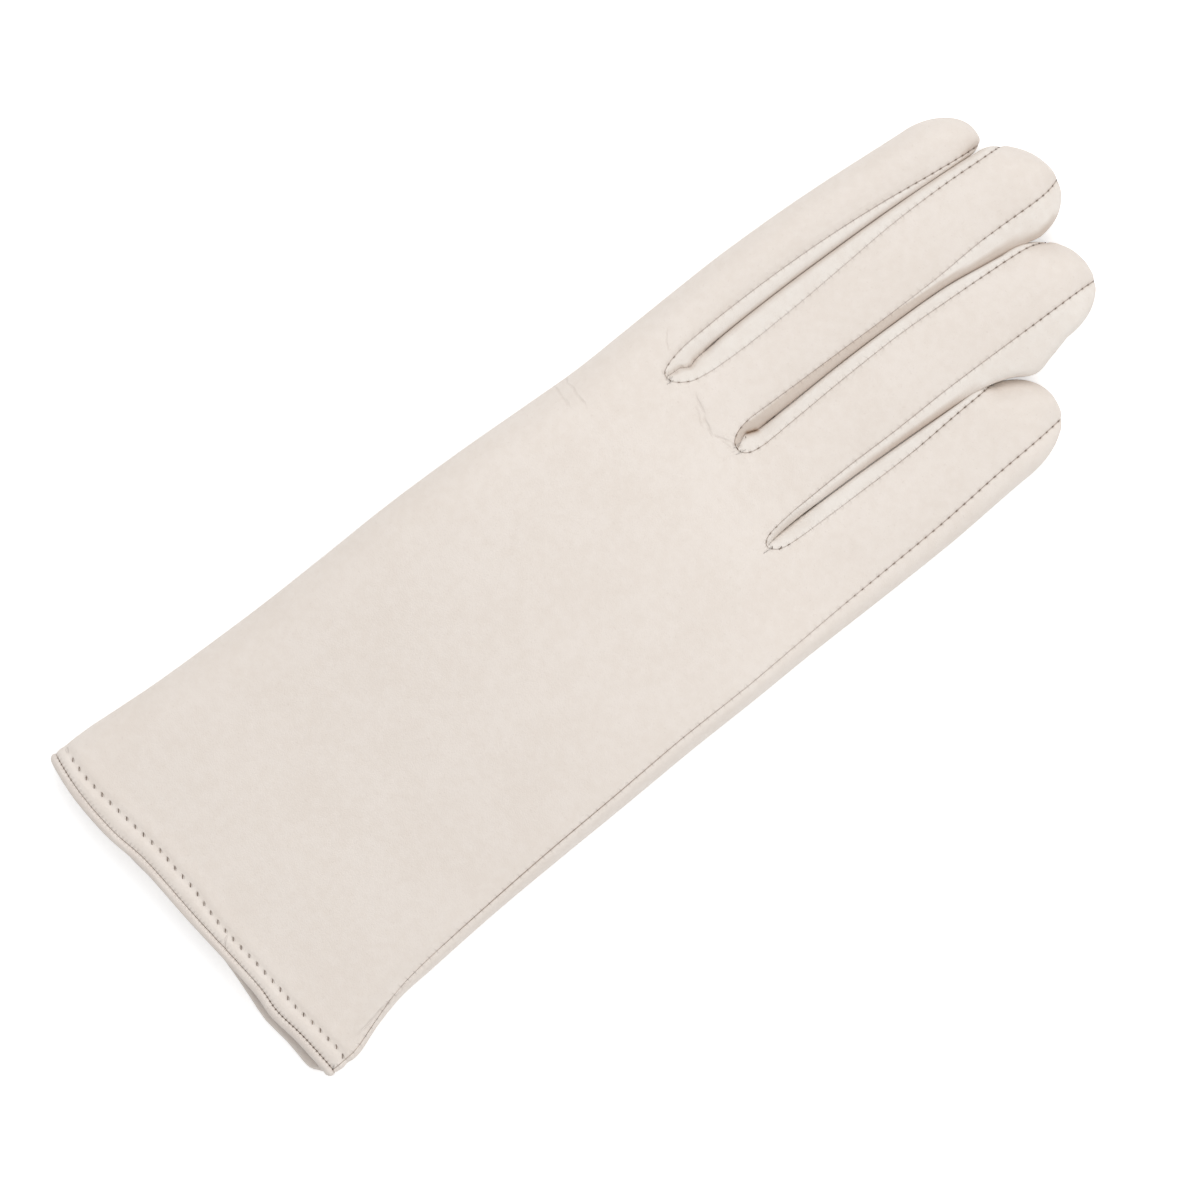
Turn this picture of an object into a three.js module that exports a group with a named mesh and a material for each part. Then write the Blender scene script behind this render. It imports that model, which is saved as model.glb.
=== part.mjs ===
// Right-hand dress glove in thin nappa leather, lying back up with its thumb folded under the palm.
// Millimetres, +Z up, fingers towards +Y, little finger towards +X.
// The glove is one skin cut along its seams: the trank (back and palm, parted under the fold at the
// index side), two-sided finger strips called fourchettes, a thumb and a rolled cuff binding.

import * as THREE from "three";

// Driving dimensions
const LEATHER = 1.0; // wall thickness
const SEAM_GAP = 0.3; // free space left between two sewn pieces
const FINGER_CLEARANCE = 0.25; // from the middle of a finger gap to either finger
const FINGER_TOP = 12.0; // crown of a finger above the table
const FINGER_SEAM = 10.4; // dorsal finger seams above the table
const FINGER_SIDE = 5.0; // widest level of a finger
const WEB = { top: 8.0, foot: 2.0 }; // upright seam where two fingers part
const SPREAD = 5; // the gap between two fingers has its full width this far beyond the web
const FINGER_SHOULDER = 7.0; // rounding of the index finger's folded side, seen from above
const BODY_SHOULDER = 13.0; // the same rounding on the hand
const BODY_SEAM_DROP = 2.2; // the outer seam lies this far under the crown of the hand
const PALM_ROUND = 4.5; // rounding between the side and the underside
const PALM_SEAM_INSET = 3.0; // palm seams of a finger, in from its widest line
const KNUCKLES = { from: 150, to: 198 }; // the hand's section turns into the fingers' over this stretch
const THUMB_HEIGHT = 8.0; // folded thumb, laid flat
const THUMB_SEAT_GAP = 0.4; // between the thumb and the palm that lies on it
const THUMB_MARGIN = 0.5; // the palm stays on the thumb's level this far outside it
const THUMB_EASE = 15; // the palm comes down to the table this far outside the thumb
const OPENING = 14; // a strip's inner columns widen and narrow over this much each side of a slit
const WEB_ROUNDNESS = 0.35; // how round the walls of the web's valley are, of 1
const END_ROUNDNESS = 2.2; // exponent of a fingertip's outline seen from the side
const TIP_LEAN = 1.6; // exponent with which a rounded end's centre moves over to its tip
const SLIT_APPROACH = 8; // the first palm line is straight again this far below its slit
const LEAST_STRAIGHTNESS = 0.7; // limits how deep the inside of a sharp fold goes
const GENTLE_FOLD = 0.75; // up to this straightness a sewn edge is drawn in along its own face
const SHARPEST_CORNER = 0.15; // limits how far the sewn edge is drawn in at a pointed corner
const OFF_TIE = 0.123; // added before coordinates are rounded to microns
const HEM_FADE = 45; // the waviness of the cuff edge is gone this far up the wrist
const ORIGIN = { across: 0, along: 136 }; // centre of the glove's footprint, in the tables' measures

// Hand and wrist: side lines, outer seam and heights at stations along the glove, from the cuff up.
const HAND = [
  { along: 0, left: -49.9, right: 50.1, seam: 49.2, top: 11.2, leftSide: 5.3, rightSide: 5.3 },
  { along: 10, left: -49.8, right: 50.1, seam: 48.8, top: 11.5, leftSide: 5.4, rightSide: 5.4 },
  { along: 20, left: -49.0, right: 47.8, seam: 46.5, top: 12.0, leftSide: 5.5, rightSide: 5.5 },
  { along: 30, left: -48.2, right: 45.9, seam: 44.1, top: 12.7, leftSide: 5.7, rightSide: 5.6 },
  { along: 40, left: -47.7, right: 45.3, seam: 42.8, top: 13.4, leftSide: 5.9, rightSide: 5.7 },
  { along: 60, left: -47.0, right: 44.2, seam: 41.4, top: 15.0, leftSide: 6.6, rightSide: 5.9 },
  { along: 80, left: -46.8, right: 43.7, seam: 40.4, top: 16.7, leftSide: 8.2, rightSide: 6.0 },
  { along: 100, left: -46.8, right: 43.4, seam: 39.8, top: 18.0, leftSide: 9.6, rightSide: 6.1 },
  { along: 120, left: -46.1, right: 43.0, seam: 39.1, top: 18.4, leftSide: 9.4, rightSide: 6.1 },
  { along: 140, left: -45.0, right: 43.0, seam: 39.1, top: 17.8, leftSide: 7.4, rightSide: 6.0 },
  { along: 155, left: -44.2, right: 42.8, seam: 38.7, top: 16.4, leftSide: 5.9, rightSide: 5.8 },
  { along: 170, left: -44.3, right: 42.9, seam: 38.3, top: 14.8, leftSide: 5.4, rightSide: 5.4 },
  { along: 185, left: -44.4, right: 43.0, seam: 38.1, top: 13.4, leftSide: 5.1, rightSide: 5.1 },
  { along: 200, left: -44.3, right: 42.9, seam: 37.8, top: 12.4, leftSide: 5.0, rightSide: 5.0 },
  { along: 222, left: -43.1, right: 42.0, seam: 36.7, top: 12.0, leftSide: 5.0, rightSide: 5.0 },
  { along: 250, left: -40.3, right: 42.0, seam: 36.7, top: 12.0, leftSide: 5.0, rightSide: 5.0 },
];

// The three gaps between the fingers. before and after are the dorsal seams of the finger on the
// index side and of the next one; middle is the line where the two fingers touch.
const GAPS = [
  {
    slit: 170.2,
    web: 181,
    palmSlit: 172.8,
    rows: [
      { along: 0, before: -26, middle: -26, after: -26 },
      { along: 170.2, before: -29.4, middle: -29.4, after: -29.4 },
      { along: 170.8, before: -30.6, middle: -29.4, after: -27.6 },
      { along: 172.8, before: -31.5, middle: -29.2, after: -25.9 },
      { along: 175, before: -32.0, middle: -28.9, after: -24.8 },
      { along: 181, before: -32.6, middle: -28.7, after: -23.9 },
      { along: 190, before: -32.8, middle: -29.0, after: -23.5 },
      { along: 205, before: -32.5, middle: -28.9, after: -23.6 },
      { along: 220, before: -31.6, middle: -28.4, after: -24.1 },
      { along: 235, before: -30.0, middle: -27.7, after: -24.6 },
      { along: 250, before: -27.8, middle: -26.6, after: -24.2 },
      { along: 260, before: -26.6, middle: -25.5, after: -23.5 },
    ],
  },
  {
    slit: 172.8,
    web: 181,
    palmSlit: 173.4,
    rows: [
      { along: 0, before: -2, middle: -2, after: -2 },
      { along: 172.8, before: -5.9, middle: -5.9, after: -5.9 },
      { along: 173.4, before: -7.6, middle: -6.0, after: -4.3 },
      { along: 175, before: -8.7, middle: -6.3, after: -3.3 },
      { along: 177.5, before: -9.4, middle: -6.4, after: -2.9 },
      { along: 181, before: -9.6, middle: -6.4, after: -2.8 },
      { along: 190, before: -9.3, middle: -6.4, after: -3.0 },
      { along: 205, before: -8.8, middle: -6.5, after: -3.3 },
      { along: 220, before: -8.3, middle: -6.1, after: -3.2 },
      { along: 235, before: -8.1, middle: -5.2, after: -2.3 },
      { along: 247, before: -8.4, middle: -3.2, after: -1.4 },
      { along: 250, before: -8.3, middle: -2.7, after: -1.1 },
      { along: 254, before: -8.2, middle: -1.95, after: -0.8 },
      { along: 260, before: -7.9, middle: -0.6, after: -0.4 },
    ],
  },
  {
    slit: 164,
    web: 175,
    palmSlit: 166,
    rows: [
      { along: 0, before: 22, middle: 22, after: 22 },
      { along: 164, before: 16.4, middle: 16.4, after: 16.4 },
      { along: 164.6, before: 15.3, middle: 16.3, after: 17.6 },
      { along: 166, before: 14.6, middle: 16.1, after: 18.6 },
      { along: 168.5, before: 14.2, middle: 15.9, after: 19.2 },
      { along: 175, before: 13.8, middle: 15.8, after: 19.6 },
      { along: 190, before: 13.6, middle: 16.3, after: 20.1 },
      { along: 205, before: 13.9, middle: 17.1, after: 20.3 },
      { along: 222, before: 13.9, middle: 18.2, after: 19.7 },
      { along: 250, before: 14.8, middle: 19.0, after: 19.7 },
    ],
  },
];

// The ring finger's outer side swells where the little finger stops pressing on it.
const RING_SWELL = [
  { along: 0, right: 0 },
  { along: 216, right: 0 },
  { along: 228, right: 0.7 },
  { along: 234, right: 2.6 },
  { along: 239, right: 5.3 },
  { along: 244, right: 4.4 },
  { along: 250, right: 2.9 },
];

// Finger ends. capFrom is where the rounded end starts, tip the furthest point, roundness the
// exponent of the end's outline. endLeft and endRight are the rings, of CAP_RINGS, where each side's
// seams run out; a folded or outer side has its own rule.
const CAP_RINGS = 6;
const FINGERS = [
  { name: "index", capFrom: 250, tipAlong: 263.8, tipAcross: -29.9, roundness: 2.5, endRight: 4 },
  { name: "middle", capFrom: 260, tipAlong: 272.2, tipAcross: -11.7, roundness: 1.95, endLeft: 2, endRight: 5 },
  { name: "ring", capFrom: 250, tipAlong: 264.9, tipAcross: 10.6, roundness: 2.1, endLeft: 3, endRight: 4 },
  { name: "little", capFrom: 222, tipAlong: 239.2, tipAcross: 30.6, roundness: 2.1, endLeft: 2, endRight: 4 },
];

// Rows of each finger's own, from the webs to the rounded end.
const LEGS = {
  index: [186, 194, 207, 221, 236, 250],
  middle: [186, 194, 207, 221, 235, 247, 254, 260],
  ring: [186, 194, 207, 220, 228, 234, 239, 244, 250],
  little: [186, 194, 208, 222],
};

// Rows shared by the whole width of the hand, from the cuff to the webs of the fingers.
const HAND_ROWS = [
  0, 10, 20, 32, 46, 62, 80, 92, 95, 101, 106, 111, 117, 120, 132, 145, 154, 160, 164, 164.6, 166, 168.5,
  170.2, 170.8, 172.8, 173.4, 175, 177.5, 181,
];

// Sewn edge of the trank at the cuff: how far up the back and palm layers start, across the wrist.
const HEM = [
  { across: -50, back: 2.6, palm: 2.6 },
  { across: -38, back: 1.8, palm: 1.9 },
  { across: -27, back: 2.3, palm: 2.1 },
  { across: -17, back: 4.0, palm: 2.9 },
  { across: 0, back: 4.9, palm: 4.9 },
  { across: 14, back: 5.9, palm: 4.9 },
  { across: 24, back: 6.4, palm: 4.2 },
  { across: 30, back: 6.0, palm: 3.7 },
  { across: 38, back: 7.0, palm: 4.6 },
  { across: 46, back: 7.5, palm: 5.0 },
  { across: 50, back: 7.6, palm: 7.6 },
];

// Centre line and half width of the folded thumb, from its heel at the wrist to its tip.
const THUMB = [
  { share: 0, across: -30.0, along: 84, half: 8.6 },
  { share: 0.15, across: -29.4, along: 94, half: 12.3 },
  { share: 0.35, across: -26.4, along: 108, half: 14.2 },
  { share: 0.55, across: -18.6, along: 122, half: 13.4 },
  { share: 0.78, across: -6.6, along: 137, half: 12.0 },
  { share: 1, across: 5.4, along: 151, half: 10.8 },
];
const THUMB_FLATNESS = 2.7; // exponent of the thumb's flattened section
const THUMB_SHARES = [0, 0.08, 0.12, 0.18, 0.26, 0.34, 0.42, 0.48, 0.54, 0.66, 0.8, 0.92, 1];
const THUMB_ENDS = [0.3, 0.58, 0.8, 0.94, 1];
const THUMB_STEPS = 25; // shares of its length at which the palm's distance from it is measured
const THUMB_STEP = 0.02; // share each side of a row over which its direction is measured
const WIDEST_OPENING = 0.9; // the opening's edge stays within this share of the half width

// Oval where the thumb joins the palm: its centre, half width and half length.
const HOLE = { across: -25.8, along: 106, half: 8.2, length: 14 };

// Section of the cuff binding: along the wall (beyond the trank's edge is positive) and depth
// inwards from the outer face. It rolls round the edge and runs up inside as a flap.
const BINDING = [
  { along: 0.3, depth: 0.0 },
  { along: 1.5, depth: 0.1 },
  { along: 2.2, depth: 0.8 },
  { along: 2.2, depth: 1.7 },
  { along: 1.5, depth: 2.4 },
  { along: -5.0, depth: 2.4 },
  { along: -5.0, depth: 1.4 },
  { along: 0.3, depth: 1.4 },
];

const lerp = THREE.MathUtils.lerp;
const clamp = THREE.MathUtils.clamp;
const smooth = THREE.MathUtils.smoothstep;
const QUARTER = Math.PI / 2;

// A smooth curve through one column of a table, as a function of another column.
function curve(table, column, by = "along") {
  const at = table.map((row) => row[by]);
  const value = table.map((row) => row[column]);
  const slope = (i) => {
    const before = Math.max(i - 1, 0);
    const after = Math.min(i + 1, at.length - 1);
    return (value[after] - value[before]) / (at[after] - at[before]);
  };
  return (position) => {
    const p = clamp(position, at[0], at[at.length - 1]);
    let i = 0;
    while (i < at.length - 2 && p > at[i + 1]) i++;
    const span = at[i + 1] - at[i];
    const t = (p - at[i]) / span;
    const t2 = t * t;
    const t3 = t2 * t;
    return (
      (2 * t3 - 3 * t2 + 1) * value[i] +
      (t3 - 2 * t2 + t) * span * slope(i) +
      (3 * t2 - 2 * t3) * value[i + 1] +
      (t3 - t2) * span * slope(i + 1)
    );
  };
}

// Straight interpolation, for the finger gaps, whose seams meet at one point at the slit.
function polyline(table, column) {
  return (position) => {
    let i = 0;
    while (i < table.length - 2 && position > table[i + 1].along) i++;
    const t = (position - table[i].along) / (table[i + 1].along - table[i].along);
    return lerp(table[i][column], table[i + 1][column], clamp(t, 0, 1));
  };
}

function columnsOf(table, names, make, by) {
  return Object.fromEntries(names.map((name) => [name, make(table, name, by)]));
}

const hand = columnsOf(HAND, ["left", "right", "seam", "top", "leftSide", "rightSide"], curve);
const gaps = GAPS.map((gap) => ({
  ...gap,
  ...columnsOf(gap.rows, ["before", "middle", "after"], polyline),
}));
const hem = columnsOf(HEM, ["back", "palm"], curve, "across");
const swell = curve(RING_SWELL, "right");
const thumbLine = columnsOf(THUMB, ["across", "along", "half"], curve, "share");
const knuckle = (along) => smooth(along, KNUCKLES.from, KNUCKLES.to);

// How far a point of the palm lies outside the folded thumb's outline, negative inside it.
function outsideThumb(across, along) {
  const distances = Array.from({ length: THUMB_STEPS + 1 }, (_, i) => {
    const share = i / THUMB_STEPS;
    const away = Math.hypot(across - thumbLine.across(share), along - thumbLine.along(share));
    return away - thumbLine.half(share);
  });
  return Math.min(...distances);
}

// Height of the palm's underside: on the table, or lying on the thumb.
function palmFloor(across, along) {
  const lift = THUMB_HEIGHT + THUMB_SEAT_GAP;
  return lift * (1 - smooth(outsideThumb(across, along), THUMB_MARGIN, THUMB_EASE));
}

// One finger, with the part of the hand below it. side is -1 towards the index finger's fold and
// 1 towards the outer seam.
class Finger {
  constructor(spec, order) {
    Object.assign(this, spec);
    this.gapBefore = gaps[order - 1];
    this.gapAfter = gaps[order];
  }

  gap(side) {
    return side < 0 ? this.gapBefore : this.gapAfter;
  }

  // Station of a ring of the rounded end, of CAP_RINGS, spaced closer towards the tip.
  ringAlong(ring) {
    return ring === CAP_RINGS
      ? this.tipAlong
      : lerp(this.capFrom, this.tipAlong, Math.sin((ring / CAP_RINGS) * QUARTER));
  }

  sideEnd(side) {
    return this.ringAlong(side < 0 ? this.endLeft : this.endRight);
  }

  straight(side, along) {
    const gap = this.gap(side);
    if (!gap) return side < 0 ? hand.left(along) : hand.right(along);
    const pushed = this.name === "ring" && side > 0 ? swell(along) : 0;
    return gap.middle(along) - side * FINGER_CLEARANCE + pushed;
  }

  // Share of the full width and height that the rounded end has left at this station.
  closing(along, exponent = this.roundness) {
    const share = clamp((along - this.capFrom) / (this.tipAlong - this.capFrom), 0, 1);
    return (1 - share ** exponent) ** (1 / exponent);
  }

  // The finger's widest line.
  outline(side, along) {
    const start = Math.min(along, this.capFrom);
    const left = this.straight(-1, start);
    const right = this.straight(1, start);
    const share = clamp((along - this.capFrom) / (this.tipAlong - this.capFrom), 0, 1);
    const centre = lerp((left + right) / 2, this.tipAcross, share ** TIP_LEAN);
    return centre + (side * (right - left) * this.closing(along)) / 2;
  }

  // How far the seams of a side have run out to the widest line, from the start of the rounded end.
  runOut(side, along) {
    return this.gap(side) || side > 0
      ? clamp((along - this.capFrom) / (this.sideEnd(side) - this.capFrom), 0, 1)
      : 0;
  }

  seam(side, along, line) {
    const end = this.sideEnd(side);
    if (along >= end) return this.outline(side, along);
    if (along <= this.capFrom) return line(along);
    return lerp(line(this.capFrom), this.outline(side, end), this.runOut(side, along));
  }

  dorsalSeam(side, along) {
    const gap = this.gap(side);
    const line = gap ? (side < 0 ? gap.after : gap.before) : hand.seam;
    return this.seam(side, along, line);
  }

  palmSeam(side, along) {
    return this.seam(side, along, (at) => this.straight(side, at) - side * PALM_SEAM_INSET);
  }

  // Heights are drawn in towards the widest level as the end closes.
  height(z, along) {
    return lerp(FINGER_SIDE, z, this.closing(along, END_ROUNDNESS));
  }

  seamHeight(side, along) {
    return lerp(this.height(FINGER_SEAM, along), FINGER_SIDE, this.runOut(side, along) ** 3);
  }

  floor(across, along) {
    return this.height(palmFloor(across, along), along);
  }
}

const fingers = FINGERS.map((spec, order) => new Finger(spec, order));
const [index, middle, ring, little] = fingers;

// Crown of the hand between its folded side and the outer seam.
function handTop(across, along) {
  const shoulder = hand.left(along) + BODY_SHOULDER;
  const share = clamp((across - shoulder) / (hand.seam(along) - shoulder), 0, 1);
  return hand.top(along) - BODY_SEAM_DROP * share ** 3;
}

// Edge of a back strip next to a gap: one line below the slit, and the finger's own seam above it.
function backEdge(finger, side, along) {
  const gap = finger.gap(side);
  return gap && along <= gap.slit ? gap.middle(along) : finger.dorsalSeam(side, along);
}

// The columns inside a strip don't follow the sudden opening of the slit.
function easedEdge(finger, side, along) {
  const gap = finger.gap(side);
  if (!gap || along >= gap.slit + OPENING) return backEdge(finger, side, along);
  const open = smooth(along, gap.slit - OPENING, gap.slit + OPENING);
  const opened = backEdge(finger, side, gap.slit + OPENING);
  return lerp(gap.middle(Math.min(along, gap.slit)), opened, open);
}

function betweenEdges(share, edge, eased) {
  if (share === 0) return edge(-1);
  if (share === 1) return edge(1);
  return lerp(eased(-1), eased(1), share);
}

const rimHeight = (across, along) => lerp(handTop(across, along), FINGER_SEAM, knuckle(along));

function backHeight(finger, across, along, share, bow) {
  const seamHeight = finger.seamHeight(share < 0.5 ? -1 : 1, along);
  const onFinger = lerp(finger.height(FINGER_TOP, along), seamHeight, bow);
  return lerp(handTop(across, along), onFinger, knuckle(along));
}

const backStrip = (finger) => (share, along) => {
  const edge = (side) => backEdge(finger, side, along);
  const across = betweenEdges(share, edge, (side) => easedEdge(finger, side, along));
  return [across, along, backHeight(finger, across, along, share, (2 * share - 1) ** 2)];
};

// The index side: a folded edge that rises from its widest line, then the strip up to the seam.
const indexShoulder = (along) =>
  index.outline(-1, along) + lerp(BODY_SHOULDER, FINGER_SHOULDER, knuckle(along)) * index.closing(along);
const indexSide = (along) => lerp(hand.leftSide(along), FINGER_SIDE, knuckle(along));

const indexFold = (share, along) => {
  const angle = share * QUARTER;
  const shoulder = indexShoulder(along);
  const across = lerp(shoulder, index.outline(-1, along), Math.cos(angle));
  return [across, along, lerp(indexSide(along), backHeight(index, shoulder, along, 1, 0), Math.sin(angle))];
};

const indexStrip = (share, along) => {
  const edge = (side) => (side < 0 ? indexShoulder(along) : backEdge(index, 1, along));
  const eased = (side) => (side < 0 ? indexShoulder(along) : easedEdge(index, 1, along));
  const across = betweenEdges(share, edge, eased);
  return [across, along, backHeight(index, across, along, 1, share * share)];
};

// Palm side. Below the palm slits the strips share one line; the first line opens for the thumb.
function holeHalf(along) {
  const reach = (along - HOLE.along) / HOLE.length;
  return Math.abs(reach) < 1 ? HOLE.half * Math.sqrt(1 - reach * reach) : 0;
}

function palmLine(gap, along) {
  if (gap !== gaps[0]) return gap.middle(along);
  const above = smooth(along, HOLE.along + HOLE.length, gap.palmSlit - SLIT_APPROACH);
  return lerp(HOLE.across, gap.middle(gap.palmSlit), above);
}

function palmEdge(finger, side, along) {
  const gap = finger.gap(side);
  if (!gap) return finger.outline(side, along) - side * PALM_ROUND * finger.closing(along);
  if (along <= gap.palmSlit) return palmLine(gap, along) - side * (gap === gaps[0] ? holeHalf(along) : 0);
  const open = clamp((along - gap.palmSlit) / (gap.web + SPREAD - gap.palmSlit), 0, 1);
  return lerp(gap.middle(along), finger.palmSeam(side, along), Math.sqrt(1 - (1 - open) ** 2));
}

function palmSeamHeight(finger, side, across, along) {
  return lerp(finger.floor(across, along), FINGER_SIDE, finger.gap(side) ? finger.runOut(side, along) ** 3 : 0);
}

const palmStrip = (finger) => (share, along) => {
  const across = lerp(palmEdge(finger, 1, along), palmEdge(finger, -1, along), share);
  const seamHeight = palmSeamHeight(finger, share < 0.5 ? 1 : -1, across, along);
  return [across, along, lerp(finger.floor(across, along), seamHeight, (2 * share - 1) ** 4)];
};

const sideLevel = (side, along) =>
  side < 0 ? indexSide(along) : lerp(hand.rightSide(along), FINGER_SIDE, knuckle(along));

// Rounding between the underside and the widest line, at the index fold and at the outer side.
const palmRound = (finger, side) => (share, along) => {
  const angle = (side < 0 ? 1 - share : share) * QUARTER;
  const inner = palmEdge(finger, side, along);
  const across = lerp(inner, finger.outline(side, along), Math.cos(angle));
  return [across, along, lerp(sideLevel(side, along), finger.floor(inner, along), Math.sin(angle))];
};

// The palm wraps round the outer side up to the outer seam on the back.
const outerWrap = (share, along) => {
  const angle = share * QUARTER;
  const seam = little.dorsalSeam(1, along);
  const seamHeight = backHeight(little, seam, along, 1, 1);
  const across = lerp(seam, little.outline(1, along), Math.sin(angle));
  return [across, along, lerp(sideLevel(1, along), seamHeight, Math.cos(angle))];
};

// Every strip of the trank, once round the hand from the index fold, and the layer that it belongs
// to. hem is how far a point of it follows the palm's cuff edge and not the back's.
const TRANK = [
  { finger: index, columns: 4, point: indexFold, layer: "back", hem: () => 0 },
  { finger: index, columns: 3, point: indexStrip, layer: "back", hem: () => 0 },
  { finger: middle, columns: 4, point: backStrip(middle), layer: "back", hem: () => 0 },
  { finger: ring, columns: 4, point: backStrip(ring), layer: "back", hem: () => 0 },
  { finger: little, columns: 4, point: backStrip(little), layer: "back", hem: () => 0 },
  { finger: little, columns: 3, point: outerWrap, layer: "palm", hem: (share) => share },
  { finger: little, columns: 3, point: palmRound(little, 1), layer: "palm", hem: () => 1 },
  { finger: little, columns: 3, point: palmStrip(little), layer: "palm", hem: () => 1 },
  { finger: ring, columns: 3, point: palmStrip(ring), layer: "palm", hem: () => 1 },
  { finger: middle, columns: 3, point: palmStrip(middle), layer: "palm", hem: () => 1 },
  { finger: index, columns: 3, point: palmStrip(index), layer: "palm", hem: () => 1 },
  { finger: index, columns: 3, point: palmRound(index, -1), layer: "back", hem: (share) => 1 - share },
];

// A point of a strip. The wavy cuff edge moves the first rows up; the wave is gone at HEM_FADE.
const trankPoint = (strip) => (share, station) => {
  const [across, along, up] = strip.point(share, station);
  const fade = Math.max(1 - along / HEM_FADE, 0);
  const wave = lerp(hem.back(across), hem.palm(across), strip.hem(share));
  return [across, along + wave * fade * fade, up];
};

// The two walls of a gap meet in a valley that runs down from the slit to the web.
function valley(gap, upper, along) {
  const start = upper ? gap.slit : gap.palmSlit;
  const line = gap.middle(start);
  const rim = upper ? rimHeight(line, start) : palmFloor(line, start);
  const depth = Math.sin(QUARTER * clamp((along - start) / (gap.web - start), 0, 1));
  return lerp(rim, upper ? WEB.top : WEB.foot, depth);
}

// Side wall of a finger. Beyond the web its section is round from a seam to the widest line; the
// walls of two fingers leave one another over the first SPREAD of it.
class SideWall {
  constructor(finger, side, upper) {
    Object.assign(this, { finger, side, upper, gap: finger.gap(side) });
    const seamLevel = upper ? FINGER_SEAM : 0;
    const webLevel = upper ? WEB.top : WEB.foot;
    this.webAngle = Math.acos((webLevel - FINGER_SIDE) / (seamLevel - FINGER_SIDE));
  }

  seam(along) {
    const { finger, side } = this;
    if (this.upper) {
      const across = backEdge(finger, side, along);
      return [across, backHeight(finger, across, along, side < 0 ? 0 : 1, 1)];
    }
    const across = palmEdge(finger, side, along);
    return [across, palmSeamHeight(finger, side, across, along)];
  }

  // Point of the round section, by its angle from the seam.
  round(angle, along) {
    const [across, up] = this.seam(along);
    const widest = this.finger.outline(this.side, along);
    return [lerp(across, widest, Math.sin(angle)), lerp(FINGER_SIDE, up, Math.cos(angle))];
  }

  spread(along) {
    return clamp((along - this.gap.web) / SPREAD, 0, 1);
  }

  webEdge(along) {
    if (along < this.gap.web) return [this.gap.middle(along), valley(this.gap, this.upper, along)];
    const level = this.upper ? WEB.top : WEB.foot;
    const [across, up] = this.round(this.webAngle, along);
    const spread = this.spread(along);
    return [lerp(this.gap.middle(along), across, spread), lerp(level, up, spread)];
  }

  widest(along) {
    const spread = this.spread(along);
    return [lerp(this.gap.middle(along), this.finger.outline(this.side, along), spread), FINGER_SIDE];
  }

  // From the seam to the edge of the web.
  slope(share, along) {
    const [seamAcross, seamUp] = this.seam(along);
    const [webAcross, webUp] = this.webEdge(along);
    const angle = share * this.webAngle;
    const out = Math.sin(angle) / Math.sin(this.webAngle);
    const down = (1 - Math.cos(angle)) / (1 - Math.cos(this.webAngle));
    const roundness = lerp(WEB_ROUNDNESS, 1, this.spread(along));
    const across = lerp(seamAcross, webAcross, lerp(share, out, roundness));
    return [across, along, lerp(seamUp, webUp, lerp(share, down, roundness))];
  }

  // From the edge of the web to the widest line.
  band(share, along) {
    const [webAcross, webUp] = this.webEdge(along);
    const [sideAcross, sideUp] = this.widest(along);
    return [lerp(webAcross, sideAcross, share), along, lerp(webUp, sideUp, share)];
  }
}

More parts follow.
